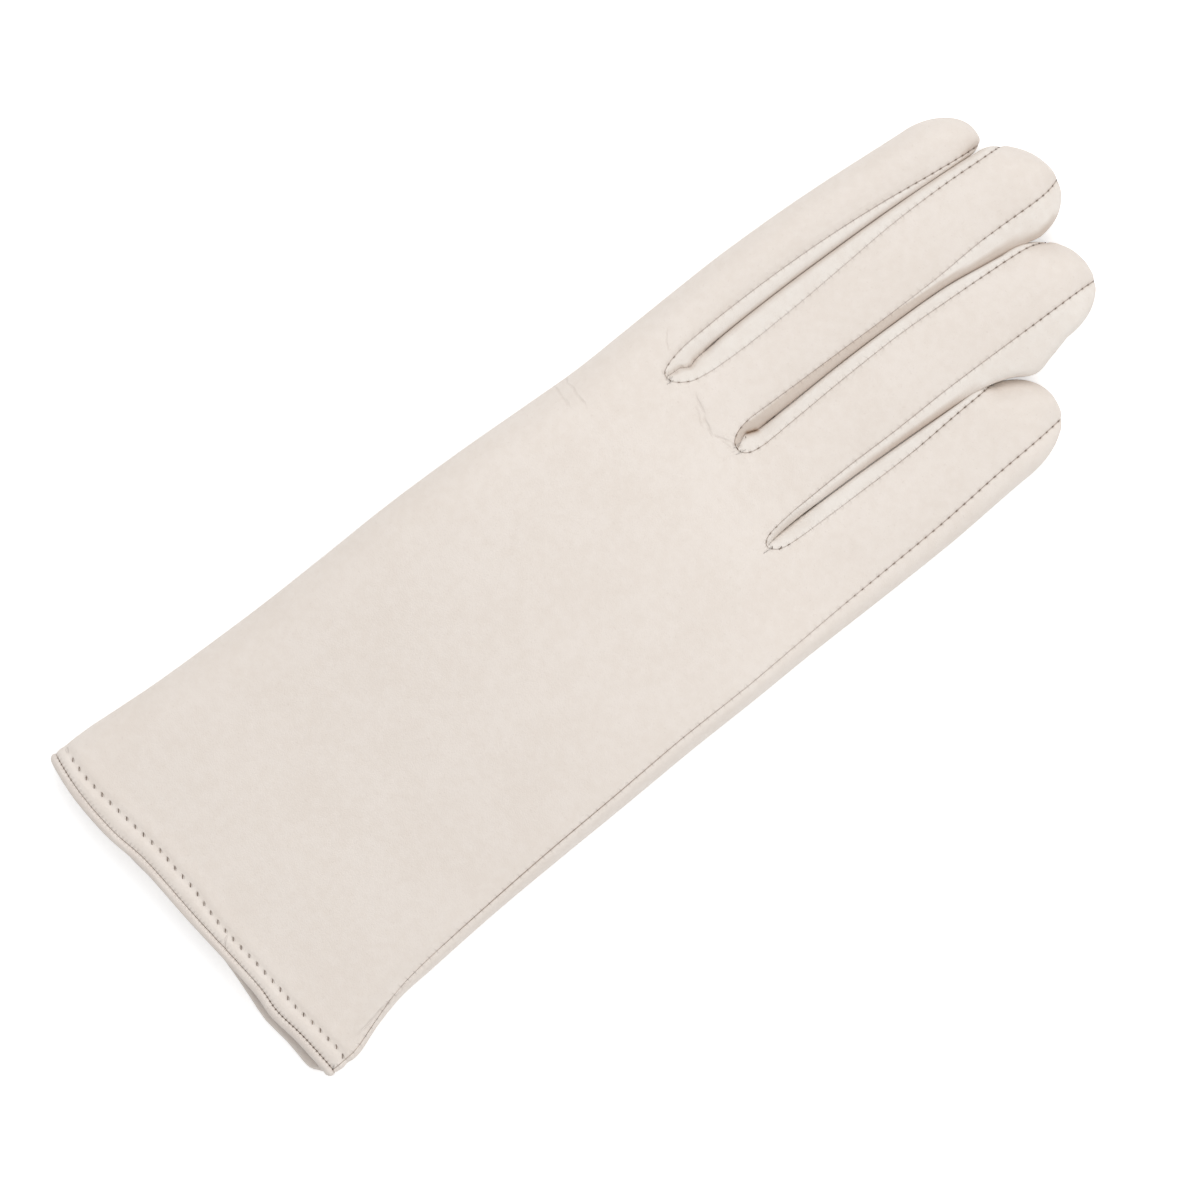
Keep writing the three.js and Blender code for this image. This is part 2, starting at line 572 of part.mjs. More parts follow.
// A skin of patches. Vertices at one place share a normal, whichever piece they belong to, so that
// neighbouring pieces are mitred where they meet.
class Skin {
  constructor() {
    this.normals = new Map();
    this.pieces = new Map();
  }

  // Microns, off a tie so that two ways of working out a point don't round apart.
  static place(point) {
    return point.map((value) => Math.round(value * 1e3 + OFF_TIE)).join(",");
  }

  // rows[row][column] holds points; columns run clockwise seen from the cuff, rows towards the tips.
  patch(piece, rows) {
    if (!this.pieces.has(piece)) this.pieces.set(piece, []);
    const corner = (row, column) => {
      const point = rows[row][column];
      return { point: new THREE.Vector3(...point), place: Skin.place(point) };
    };
    for (let row = 0; row + 1 < rows.length; row++) {
      for (let column = 0; column + 1 < rows[row].length; column++) {
        const a = corner(row, column);
        const b = corner(row, column + 1);
        const c = corner(row + 1, column + 1);
        const d = corner(row + 1, column);
        this.addFace(piece, [a, b, c]);
        this.addFace(piece, [a, c, d]);
      }
    }
  }

  // Each face counts at a corner by the angle it fills there.
  addFace(piece, face) {
    if (new Set(face.map((corner) => corner.place)).size < 3) return;
    const triangle = new THREE.Triangle(...face.map((corner) => corner.point));
    const normal = triangle.getNormal(new THREE.Vector3());
    const angles = face.map(({ point }, i) => {
      const one = face[(i + 1) % 3].point.clone().sub(point);
      return one.angleTo(face[(i + 2) % 3].point.clone().sub(point));
    });
    this.pieces.get(piece).push({ face, normal, angles });
    face.forEach(({ place }, i) => {
      const sum = this.normals.get(place) ?? new THREE.Vector3();
      this.normals.set(place, sum.addScaledVector(normal, angles[i]));
    });
  }

  // The piece's corners by place, each with its shared normal, and its open edges.
  gather(piece) {
    const corners = new Map();
    const sides = new Map();
    for (const { face, normal, angles } of this.pieces.get(piece)) {
      face.forEach((corner, i) => {
        const next = face[(i + 1) % 3];
        sides.set(corner.place + ">" + next.place, [corner.place, next.place]);
        if (!corners.has(corner.place)) {
          const shared = this.normals.get(corner.place).clone().normalize();
          corners.set(corner.place, { ...corner, normal: shared, facing: new THREE.Vector3(), into: [] });
        }
        corners.get(corner.place).facing.addScaledVector(normal, angles[i]);
      });
    }
    for (const corner of corners.values()) corner.facing.normalize();
    const rim = [...sides.values()].filter(([from, to]) => !sides.has(to + ">" + from));
    for (const ends of rim) {
      const [from, to] = ends.map((place) => corners.get(place));
      const edge = to.point.clone().sub(from.point);
      for (const { facing, normal, into } of [from, to]) {
        const level = facing.dot(normal) > GENTLE_FOLD ? facing : normal;
        into.push(level.clone().cross(edge).normalize());
      }
    }
    return { corners, rim };
  }

  // One piece as a closed wall of leather, its sewn edges drawn in by half the seam gap. The two
  // sides of a seam are split along the same diagonals.
  solid(piece) {
    const { corners, rim } = this.gather(piece);
    const outer = [];
    const inner = [];
    [...corners.values()].forEach((corner, number) => {
      corner.number = number;
      const { normal, into, facing } = corner;
      const outside = corner.point.clone();
      if (into.length) {
        const inwards = into.reduce((sum, step) => sum.add(step), new THREE.Vector3()).normalize();
        const squareness = Math.max(inwards.dot(into[0]), SHARPEST_CORNER);
        outside.addScaledVector(inwards, SEAM_GAP / 2 / squareness);
        outside.z = Math.max(outside.z, 0);
      }
      const straightness = Math.max(facing.dot(normal), LEAST_STRAIGHTNESS);
      outer.push(...outside);
      inner.push(...outside.addScaledVector(normal, -LEATHER / straightness));
    });
    const number = (place) => corners.get(place).number;
    const count = corners.size;
    const triangles = [];
    for (const { face } of this.pieces.get(piece)) {
      const [a, b, c] = face.map((corner) => number(corner.place));
      triangles.push(a, b, c, a + count, c + count, b + count);
    }
    for (const [from, to] of rim) {
      const a = number(from);
      const b = number(to);
      if (from < to) triangles.push(b, a, a + count, b, a + count, b + count);
      else triangles.push(b, a, b + count, a, a + count, b + count);
    }
    return solidGeometry([...outer, ...inner], triangles);
  }
}

function solidGeometry(positions, triangles) {
  const geometry = new THREE.BufferGeometry();
  geometry.setAttribute("position", new THREE.Float32BufferAttribute(positions, 3));
  geometry.setIndex(triangles);
  geometry.computeVertexNormals();
  return geometry;
}

function pointRows(rows, columns, point) {
  return rows.map((along) =>
    Array.from({ length: columns + 1 }, (_, column) => point(column / columns, along)),
  );
}

function rowsOf(finger, from = 0, to = finger.tipAlong) {
  const end = Array.from({ length: CAP_RINGS }, (_, i) => finger.ringAlong(i + 1));
  return [...HAND_ROWS, ...LEGS[finger.name], ...end].filter((row) => row >= from && row <= to);
}

function sewTrank(skin) {
  for (const strip of TRANK) {
    skin.patch("trank_" + strip.layer, pointRows(rowsOf(strip.finger), strip.columns, trankPoint(strip)));
  }
}

// A fourchette is one side of a finger, from the slit in the back to the slit in the palm.
function sewFourchette(skin, name, finger, side) {
  const { slit, palmSlit, web } = finger.gap(side);
  const end = finger.sideEnd(side);
  const upper = new SideWall(finger, side, true);
  const lower = new SideWall(finger, side, false);
  const add = (isUpper, from, columns, point) => {
    const rows = pointRows(rowsOf(finger, from, end), columns, point);
    skin.patch(name, isUpper === side > 0 ? rows : rows.map((row) => row.reverse()));
  };
  add(true, slit, 2, (u, v) => upper.slope(u, v));
  add(true, web, 1, (u, v) => upper.band(u, v));
  add(false, palmSlit, 2, (u, v) => lower.slope(u, v));
  add(false, web, 1, (u, v) => lower.band(u, v));
}

// The thumb is a flattened closed tube, rounded at both ends, with an oval opening on top. Its upper
// and lower leather meet along its outline.
const thumbRows = [
  ...THUMB_ENDS.map((reach) => ({ share: 0, reach: -reach })).reverse(),
  ...THUMB_SHARES.map((share) => ({ share, reach: 0 })),
  ...THUMB_ENDS.map((reach) => ({ share: 1, reach })),
];

function thumbFrame({ share, reach }) {
  const ahead = Math.min(share + THUMB_STEP, 1);
  const behind = Math.max(share - THUMB_STEP, 0);
  const direction = new THREE.Vector2(
    thumbLine.across(ahead) - thumbLine.across(behind),
    thumbLine.along(ahead) - thumbLine.along(behind),
  ).normalize();
  const half = thumbLine.half(share);
  const centre = new THREE.Vector2(thumbLine.across(share), thumbLine.along(share));
  centre.addScaledVector(direction, reach * half);
  const closing = Math.sqrt(1 - reach * reach);
  return { centre, sideways: new THREE.Vector2(-direction.y, direction.x), half, closing };
}

// angle runs over the top from 0 at the outline's right to half a turn at its left.
function thumbPoint(angle, row) {
  const { centre, sideways, half, closing } = thumbFrame(row);
  const flattened = (value) => Math.sign(value) * Math.abs(value) ** (2 / THUMB_FLATNESS);
  const place = centre.clone().addScaledVector(sideways, -flattened(Math.cos(angle)) * half * closing);
  return [place.x, place.y, (THUMB_HEIGHT / 2) * (1 + flattened(Math.sin(angle)) * closing)];
}

// Angles at which this row's section crosses the opening; the same angle twice where it doesn't.
function openingAngles(row) {
  const { centre, sideways, half } = thumbFrame(row);
  const size = new THREE.Vector2(HOLE.half, HOLE.length);
  const from = centre.clone().sub(new THREE.Vector2(HOLE.across, HOLE.along)).divide(size);
  const step = sideways.clone().divide(size);
  const nearest = -from.dot(step) / step.lengthSq();
  const closest = from.clone().addScaledVector(step, nearest).lengthSq();
  const chord = row.reach === 0 && closest < 1 ? Math.sqrt((1 - closest) / step.lengthSq()) : 0;
  const angleAt = (offset) => {
    const share = clamp(-offset / half, -WIDEST_OPENING, WIDEST_OPENING);
    return Math.acos(Math.sign(share) * Math.abs(share) ** (THUMB_FLATNESS / 2));
  };
  const middleOffset = row.reach === 0 ? nearest : 0;
  return [angleAt(middleOffset - chord), angleAt(middleOffset + chord)];
}

function sewThumb(skin) {
  const strip = (piece, columns, from, to) => {
    const rows = thumbRows.map((row) =>
      Array.from({ length: columns + 1 }, (_, i) => thumbPoint(lerp(from(row), to(row), i / columns), row)),
    );
    skin.patch(piece, rows.map((row) => row.reverse()));
  };
  strip("thumb_upper", 4, () => 0, (row) => openingAngles(row)[0]);
  strip("thumb_upper", 4, (row) => openingAngles(row)[1], () => Math.PI);
  strip("thumb_lower", 8, () => Math.PI, () => 2 * Math.PI);
}

// The binding follows the sewn edge of the trank all round the mouth of the glove.
function cuffBinding() {
  const stations = TRANK.flatMap((strip) =>
    Array.from({ length: strip.columns }, (_, column) => ({
      edge: new THREE.Vector3(...trankPoint(strip)(column / strip.columns, 0)),
      above: new THREE.Vector3(...trankPoint(strip)(column / strip.columns, HAND_ROWS[1])),
    })),
  );
  const at = (i) => stations[(i + stations.length) % stations.length];
  const positions = stations.flatMap(({ edge, above }, i) => {
    const up = above.clone().sub(edge).normalize();
    const before = edge.clone().sub(at(i - 1).edge).normalize();
    const after = at(i + 1).edge.clone().sub(edge).normalize();
    const outward = before.clone().add(after).cross(up).normalize();
    const mitre = Math.sqrt((1 + before.dot(after)) / 2);
    return BINDING.flatMap(({ along, depth }) => [
      ...edge.clone().addScaledVector(up, -along).addScaledVector(outward, -depth / mitre),
    ]);
  });
  const size = BINDING.length;
  const triangles = stations.flatMap((_, i) => {
    const here = i * size;
    const after = ((i + 1) % stations.length) * size;
    return BINDING.flatMap((__, j) => {
      const k = (j + 1) % size;
      return [here + j, here + k, after + k, here + j, after + k, after + j];
    });
  });
  return solidGeometry(positions, triangles);
}

const nappa = new THREE.MeshStandardMaterial({ color: 0xe9e2d8, roughness: 0.55, metalness: 0 });
const stripNappa = new THREE.MeshStandardMaterial({ color: 0xe7dfd5, roughness: 0.58, metalness: 0 });
const bindingNappa = new THREE.MeshStandardMaterial({ color: 0xe3dacf, roughness: 0.55, metalness: 0 });

const FOURCHETTES = [
  ["fourchette_index", index, 1],
  ["fourchette_middle_index_side", middle, -1],
  ["fourchette_middle_ring_side", middle, 1],
  ["fourchette_ring_middle_side", ring, -1],
  ["fourchette_ring_little_side", ring, 1],
  ["fourchette_little", little, -1],
];

const skin = new Skin();
sewTrank(skin);
sewThumb(skin);
for (const [name, finger, side] of FOURCHETTES) sewFourchette(skin, name, finger, side);

const part = new THREE.Group();

function addPiece(name, geometry, material) {
  const mesh = new THREE.Mesh(geometry, material);
  mesh.name = name;
  mesh.position.set(-ORIGIN.across, -ORIGIN.along, 0);
  part.add(mesh);
}

addPiece("trank_back", skin.solid("trank_back"), nappa);
addPiece("trank_palm", skin.solid("trank_palm"), nappa);
addPiece("thumb_upper", skin.solid("thumb_upper"), nappa);
addPiece("thumb_lower", skin.solid("thumb_lower"), nappa);
for (const [name] of FOURCHETTES) addPiece(name, skin.solid(name), stripNappa);
addPiece("cuff_binding", cuffBinding(), bindingNappa);

export default part;
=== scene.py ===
"""A right-hand dress glove in cream nappa leather, lying back up on a pale surface.

The glove is cut as a real one is: a trank (back and palm in one piece), six fourchettes between the
fingers, a folded thumb and a rolled cuff binding. GlovePattern holds the shape they share, Skin sews
its patches into walls of leather, and the stitches are laid along the finished seams.

Measures are in millimetres until a mesh is made. "along" runs from the cuff to the fingertips and
"across" from the index side to the little finger's side.
"""

from __future__ import annotations

import logging
import math
from dataclasses import dataclass, field
from enum import Enum
from functools import partial
from typing import Callable, Iterable, Sequence

import bpy
import numpy as np
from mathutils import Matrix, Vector
from mathutils.bvhtree import BVHTree
from mathutils.kdtree import KDTree

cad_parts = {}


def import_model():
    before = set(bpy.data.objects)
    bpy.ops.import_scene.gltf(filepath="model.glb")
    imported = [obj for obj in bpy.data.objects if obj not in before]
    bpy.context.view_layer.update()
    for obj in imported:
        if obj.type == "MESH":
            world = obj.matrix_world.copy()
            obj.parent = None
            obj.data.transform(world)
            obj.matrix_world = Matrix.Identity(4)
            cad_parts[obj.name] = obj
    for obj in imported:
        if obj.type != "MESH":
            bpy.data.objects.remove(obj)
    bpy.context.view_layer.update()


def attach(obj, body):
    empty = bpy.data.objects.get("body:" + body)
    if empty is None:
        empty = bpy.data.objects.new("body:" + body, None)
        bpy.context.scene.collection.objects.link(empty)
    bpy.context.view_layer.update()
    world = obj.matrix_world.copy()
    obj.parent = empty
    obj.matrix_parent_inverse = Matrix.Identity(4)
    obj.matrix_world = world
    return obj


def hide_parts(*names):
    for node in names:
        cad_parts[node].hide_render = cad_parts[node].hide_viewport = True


log = logging.getLogger("glove")
Array = np.ndarray
Socket = bpy.types.NodeSocket
Sockets = dict[str, Socket]
Colour = tuple[float, float, float]
Place = tuple[float, float, float]

MM = 0.001
FAR = 1e9
TINY = 1e-9  # a length below it has no direction
THIN = 1e-6  # a width or a turn below it counts as none
CENTRE_ALONG = 136.0  # measure along the glove that lies over the frame's origin
QUARTER = math.pi / 2


def lerp(low: Array | float, high: Array | float, share: Array | float) -> Array:
    """Straight blend from low to high."""
    return low + (np.asarray(high) - low) * share


def clamped(value: Array | float) -> Array:
    """value held between 0 and 1."""
    return np.clip(value, 0.0, 1.0)


def share_of(value: Array | float, low: Array | float, high: Array | float) -> Array:
    """How far value has come from low to high, held between 0 and 1."""
    return clamped((np.asarray(value, float) - low) / (high - low))


def smooth(value: Array | float, low: float, high: float) -> Array:
    """Smooth step from 0 at low to 1 at high."""
    t = share_of(value, low, high)
    return t * t * (3 - 2 * t)


def every(count: int, step: int) -> Array:
    """Marks every step-th of count items, and the last."""
    marked = np.arange(count) % step == 0
    marked[-1] = True
    return marked


def joined(across: Array, along: Array, up: Array | float) -> Array:
    """Points from their three measures."""
    return np.stack(np.broadcast_arrays(across, along, up), -1)


def unit(vectors: Array) -> Array:
    """Vectors, a row for each, at length 1."""
    return vectors / np.maximum(np.linalg.norm(vectors, axis=1, keepdims=True), TINY)


def run_along(points: Array) -> Array:
    """Distance from a line's start at each of its points."""
    return np.concatenate([[0], np.cumsum(np.linalg.norm(np.diff(points, axis=0), axis=1))])


def picked(points: Array, run: Array, at: Array) -> Array:
    """Points of a line at distances from its start, run being those of its own points."""
    return np.stack([np.interp(at, run, points[:, k]) for k in range(3)], -1)


def search_tree(points: Array) -> KDTree:
    """A search tree over points, numbered in their order."""
    tree = KDTree(len(points))
    for number, point in enumerate(points):
        tree.insert(point, number)
    tree.balance()
    return tree


class Curve:
    """A smooth curve through points at rising positions."""

    def __init__(self, at: Array, value: Array) -> None:
        """Keeps the points and works out the slope at each one."""
        self.at = np.asarray(at, float)
        self.value = np.asarray(value, float)
        last = len(self.at) - 1
        before = np.maximum(np.arange(last + 1) - 1, 0)
        after = np.minimum(np.arange(last + 1) + 1, last)
        self.slope = (self.value[after] - self.value[before]) / (self.at[after] - self.at[before])

    def __call__(self, position: Array | float) -> Array:
        """The curve's value at a position, held at its end values beyond them."""
        p = np.clip(position, self.at[0], self.at[-1])
        i = np.clip(np.searchsorted(self.at, p) - 1, 0, len(self.at) - 2)
        span = self.at[i + 1] - self.at[i]
        t = (p - self.at[i]) / span
        t2, t3 = t * t, t * t * t
        return (
            (2 * t3 - 3 * t2 + 1) * self.value[i]
            + (t3 - 2 * t2 + t) * span * self.slope[i]
            + (3 * t2 - 2 * t3) * self.value[i + 1]
            + (t3 - t2) * span * self.slope[i + 1]
        )


class Table:
    """A short table with named columns, one row for each station."""

    def __init__(self, columns: str, *rows: Sequence[float]) -> None:
        """Keeps the rows under the names in columns."""
        self.values = dict(zip(columns.split(), np.array(rows, float).T))

    def __getitem__(self, column: str) -> Array:
        """All values of one column."""
        return self.values[column]

    def curve(self, column: str, by: str = "along") -> Curve:
        """A smooth curve through one column, as a function of another."""
        return Curve(self[by], self[column])


HAND = Table(
    "along left right seam top left_side right_side",
    (0, -49.9, 50.1, 49.2, 11.2, 5.3, 5.3),
    (10, -49.8, 50.1, 48.8, 11.5, 5.4, 5.4),
    (20, -49.0, 47.8, 46.5, 12.0, 5.5, 5.5),
    (30, -48.2, 45.9, 44.1, 12.7, 5.7, 5.6),
    (40, -47.7, 45.3, 42.8, 13.4, 5.9, 5.7),
    (60, -47.0, 44.2, 41.4, 15.0, 6.6, 5.9),
    (80, -46.8, 43.7, 40.4, 16.7, 8.2, 6.0),
    (100, -46.8, 43.4, 39.8, 18.0, 9.6, 6.1),
    (120, -46.1, 43.0, 39.1, 18.4, 9.4, 6.1),
    (140, -45.0, 43.0, 39.1, 17.8, 7.4, 6.0),
    (155, -44.2, 42.8, 38.7, 16.4, 5.9, 5.8),
    (170, -44.3, 42.9, 38.3, 14.8, 5.4, 5.4),
    (185, -44.4, 43.0, 38.1, 13.4, 5.1, 5.1),
    (200, -44.3, 42.9, 37.8, 12.4, 5.0, 5.0),
    (222, -43.1, 42.0, 36.7, 12.0, 5.0, 5.0),
    (250, -40.3, 42.0, 36.7, 12.0, 5.0, 5.0),
)
INDEX_GAP = Table(
    "along before middle after",
    (170.2, -29.4, -29.4, -29.4),
    (170.8, -30.6, -29.4, -27.6),
    (172.8, -31.5, -29.2, -25.9),
    (174.2, -31.85, -29.1, -25.1),
    (175.3, -32.05, -28.35, -24.75),
    (176.4, -32.25, -27.95, -24.5),
    (178.2, -32.45, -28.5, -24.2),
    (181, -32.6, -28.7, -23.9),
    (190, -32.8, -29.0, -23.5),
    (205, -32.5, -28.9, -23.6),
    (220, -31.6, -28.4, -24.1),
    (235, -30.0, -27.7, -24.6),
    (250, -27.8, -26.6, -24.2),
    (260, -26.6, -25.5, -23.5),
)
MIDDLE_GAP = Table(
    "along before middle after",
    (172.8, -5.9, -5.9, -5.9),
    (173.4, -7.6, -6.1, -4.3),
    (175, -8.7, -6.9, -3.3),
    (176.5, -9.2, -7.5, -3.0),
    (178, -9.45, -7.0, -2.85),
    (179.4, -9.6, -6.45, -2.8),
    (181, -9.6, -6.4, -2.8),
    (190, -9.3, -6.4, -3.0),
    (205, -8.8, -6.5, -3.3),
    (220, -8.3, -6.1, -3.2),
    (235, -8.1, -5.2, -2.3),
    (247, -8.4, -3.2, -1.4),
    (254, -8.2, -1.95, -0.8),
    (260, -7.9, -0.6, -0.4),
)
LITTLE_GAP = Table(
    "along before middle after",
    (164, 16.4, 16.4, 16.4),
    (164.6, 15.3, 16.3, 17.6),
    (166, 14.6, 16.1, 18.6),
    (168.5, 14.2, 15.9, 19.2),
    (175, 13.8, 15.8, 19.6),
    (190, 13.6, 16.3, 20.1),
    (205, 13.9, 17.1, 20.3),
    (222, 13.9, 18.2, 19.7),
    (250, 14.8, 19.0, 19.7),
)
RING_SWELL = Table(
    "along right", (0, 0), (216, 0), (228, 0.7), (234, 2.6), (239, 5.3), (244, 4.4), (250, 2.9)
)
HEM = Table(
    "across back palm",
    (-50, 2.6, 2.6),
    (-38, 1.8, 1.9),
    (-27, 2.3, 2.1),
    (-17, 4.0, 2.9),
    (0, 4.9, 4.9),
    (14, 5.9, 4.9),
    (24, 6.4, 4.2),
    (30, 6.0, 3.7),
    (38, 7.0, 4.6),
    (46, 7.5, 5.0),
    (50, 7.6, 7.6),
)
# darkness of the outer seam along the glove: its depth, and the dirt and painted shade in its groove
OUTER_SEAM = Table(
    "along dark",
    (0, 0.55),
    (17, 0.5),
    (30, 0.3),
    (42, 0.45),
    (60, 1.0),
    (100, 1.0),
    (140, 0.45),
    (172, 0.4),
    (190, 0.7),
    (238, 0.75),
)
THUMB = Table(
    "share across along half",
    (0, -30.0, 84, 8.6),
    (0.15, -29.4, 94, 12.3),
    (0.35, -26.4, 108, 14.2),
    (0.55, -18.6, 122, 13.4),
    (0.78, -6.6, 137, 12.0),
    (1, 5.4, 151, 10.8),
)
TOPSTITCH = Table(
    "across along",
    (-49.4, 5.3),
    (-42.4, 5.0),
    (-36.9, 5.4),
    (-31.4, 6.0),
    (-26.4, 6.7),
    (-21.4, 7.4),
    (-16.4, 8.1),
    (-11.4, 8.2),
    (-4.9, 8.6),
    (0.6, 8.3),
    (5.6, 8.2),
    (10.6, 8.5),
    (16.1, 9.0),
    (21.1, 9.4),
    (27.6, 9.8),
    (32.6, 10.0),
    (37.6, 10.8),
    (43.6, 11.3),
    (46.1, 11.6),
    (48.9, 11.2),
)


@dataclass(frozen=True)
class Tack:
    """A short stitch or thread end at the bottom of a slit, from one point to another."""

    start: tuple[float, float]
    end: tuple[float, float]
    # pale=False lays it in the dark thread, whose colour is painted shade
    pale: bool = True


TACKS = (
    Tack((-28.55, 171.5), (-28.7, 170.0)),
    Tack((-27.75, 171.2), (-27.95, 169.2)),
    Tack((-29.4, 170.7), (-28.85, 169.6)),
    Tack((-28.3, 170.5), (-27.9, 170.1), pale=False),
    Tack((-6.6, 174.6), (-6.55, 172.1)),
    Tack((-6.3, 172.85), (-5.4, 172.75), pale=False),
    Tack((-4.5, 174.3), (-5.05, 171.6)),
    Tack((-7.0, 176.2), (-6.6, 175.9), pale=False),
    Tack((17.25, 164.8), (17.1, 162.2)),
    Tack((18.5, 166.7), (18.7, 165.6), pale=False),
    Tack((17.0, 164.9), (17.5, 164.6), pale=False),
)


class Side(Enum):
    """A side of a finger, seen from the back."""

    INDEX = -1
    OUTER = 1


# darkness of each finger seam at the four stations that SeamPlan names: depth, dirt and painted shade
SEAM_DARKNESS = {
    ("index", Side.OUTER): (0.55, 0.4, 0.35, 0.8),
    ("middle", Side.INDEX): (0.45, 0.1, 0.15, 0.6),
    ("middle", Side.OUTER): (0.8, 0.45, 0.25, 0.8),
    ("ring", Side.INDEX): (0.6, 0.4, 0.3, 0.75),
    ("ring", Side.OUTER): (0.85, 0.6, 0.6, 0.85),
    ("little", Side.INDEX): (0.5, 0.15, 0.35, 0.85),
}


class Gap:
    """The gap between two fingers, which opens at a slit in the back and one in the palm.

    before and after are the back seams of the two fingers, and middle is where the fingers touch.
    """

    def __init__(self, table: Table, web: float, palm_slit: float, foot: float) -> None:
        """Reads the seams above the slit.

        Args:
            table: The seams, from the slit up.
            web: Where the two fingers part at half height.
            palm_slit: Where the slit in the palm starts.
            foot: Across-measure at the cuff of the line that runs down from the slit.
        """
        self.slit = float(table["along"][0])
        self.web = web
        self.palm_slit = palm_slit
        self.foot = foot
        rise = np.sqrt(table["along"] - self.slit)
        self.seams = {name: Curve(rise, table[name]) for name in ("before", "middle", "after")}

    def line(self, name: str, along: Array | float) -> Array:
        """Across-measure of a seam or of the middle. Below the slit all three are one line."""
        start = self.seams["middle"].value[0]
        below = lerp(self.foot, start, np.asarray(along, float) / self.slit)
        above = self.seams[name](np.sqrt(np.maximum(np.asarray(along, float) - self.slit, 0)))
        return np.where(np.asarray(along) <= self.slit, below, above)

    def start(self, upper: bool) -> float:
        """Where the slit in the back starts, or the one in the palm."""
        return self.slit if upper else self.palm_slit

    def middle(self, along: Array | float) -> Array:
        """Where the two fingers touch."""
        return self.line("middle", along)


@dataclass
class GloveSizes:
    """Driving sizes of the glove, in millimetres."""

    leather: float = 1.0
    seam_opening: float = 0.05  # between two sewn edges
    finger_clearance: float = 0.02  # from the middle of a gap to either finger
    finger_top: float = 12.0
    finger_seam: float = 10.4
    finger_side: float = 5.0
    web_top: float = 8.9
    web_foot: float = 2.0
    web_spread: float = 5.0
    finger_shoulder: float = 7.0
    body_shoulder: float = 13.0
    seam_drop: float = 2.2
    palm_round: float = 4.5
    palm_seam_inset: float = 3.0
    strip_side: float = 8.3  # level at which the strips of two fingers touch
    full_strip: float = 4.2  # roundness of a strip's section: 2 is round, more is fuller
    slack_strip: float = 2.7
    outer_fullness: float = 2.5
    knuckles_from: float = 150.0
    knuckles_to: float = 198.0
    thumb_height: float = 8.0
    thumb_seat_gap: float = 0.4
    thumb_margin: float = 0.5
    thumb_ease: float = 15.0
    slit_ease: float = 14.0
    slit_approach: float = 8.0
    seam_straightness: float = 3.5
    crease_below_slit: float = 7.0
    web_roundness: float = 0.35
    end_roundness: float = 2.2
    tip_lean: float = 1.6
    hem_fade: float = 45.0
    cap_rings: int = 6


SIZES = GloveSizes()


@dataclass
class ThumbHole:
    """The oval in the palm where the thumb is sewn in."""

    across: float = -25.8
    along: float = 106.0
    half: float = 8.2
    length: float = 14.0

    def reach(self, along: Array) -> Array:
        """Half its width at a station, 0 beyond its ends."""
        share = (np.asarray(along, float) - self.along) / self.length
        return self.half * np.sqrt(np.maximum(1 - share * share, 0))


class HandShape:
    """Outline and heights of the hand and wrist, and the palm lying over the folded thumb."""

    def __init__(self, sizes: GloveSizes) -> None:
        """Makes the curves of every column of the hand's table."""
        self.sizes = sizes
        self.left = HAND.curve("left")
        self.right = HAND.curve("right")
        self.seam = HAND.curve("seam")
        self.top = HAND.curve("top")
        self.left_side = HAND.curve("left_side")
        self.right_side = HAND.curve("right_side")
        self.hem_back = HEM.curve("back", "across")
        self.hem_palm = HEM.curve("palm", "across")
        self.thumb = {name: THUMB.curve(name, "share") for name in ("across", "along", "half")}

    def knuckle(self, along: Array) -> Array:
        """How far the hand's section has turned into the fingers' sections."""
        return smooth(along, self.sizes.knuckles_from, self.sizes.knuckles_to)

    def outside_thumb(self, across: Array, along: Array) -> Array:
        """How far a point of the palm lies outside the thumb's outline, negative inside it."""
        steps = 26
        nearest = np.full(np.broadcast(across, along).shape, FAR)
        for share in np.linspace(0, 1, steps):
            away = np.hypot(across - self.thumb["across"](share), along - self.thumb["along"](share))
            nearest = np.minimum(nearest, away - self.thumb["half"](share))
        return nearest

    def palm_floor(self, across: Array, along: Array) -> Array:
        """Height of the palm's underside, on the table or on the thumb."""
        lift = self.sizes.thumb_height + self.sizes.thumb_seat_gap
        outside = self.outside_thumb(across, along)
        return lift * (1 - smooth(outside, self.sizes.thumb_margin, self.sizes.thumb_ease))

    def crown(self, across: Array, along: Array) -> Array:
        """Height of the back between its folded side and the outer seam."""
        shoulder = self.left(along) + self.sizes.body_shoulder
        share = share_of(across, shoulder, self.seam(along))
        return self.top(along) - self.sizes.seam_drop * share**3

    def waved(self, points: Array, palm_share: Array | float) -> Array:
        """The points with the cuff's wavy edge: the first rows move up, and the wave fades.

        Args:
            points: Points of the hand.
            palm_share: How far each follows the palm's cuff edge and not the back's.

        Returns:
            The moved points.
        """
        moved = points.copy()
        fade = np.maximum(1 - points[..., 1] / SIZES.hem_fade, 0)
        wave = lerp(self.hem_back(points[..., 0]), self.hem_palm(points[..., 0]), palm_share)
        moved[..., 1] += wave * fade * fade
        return moved


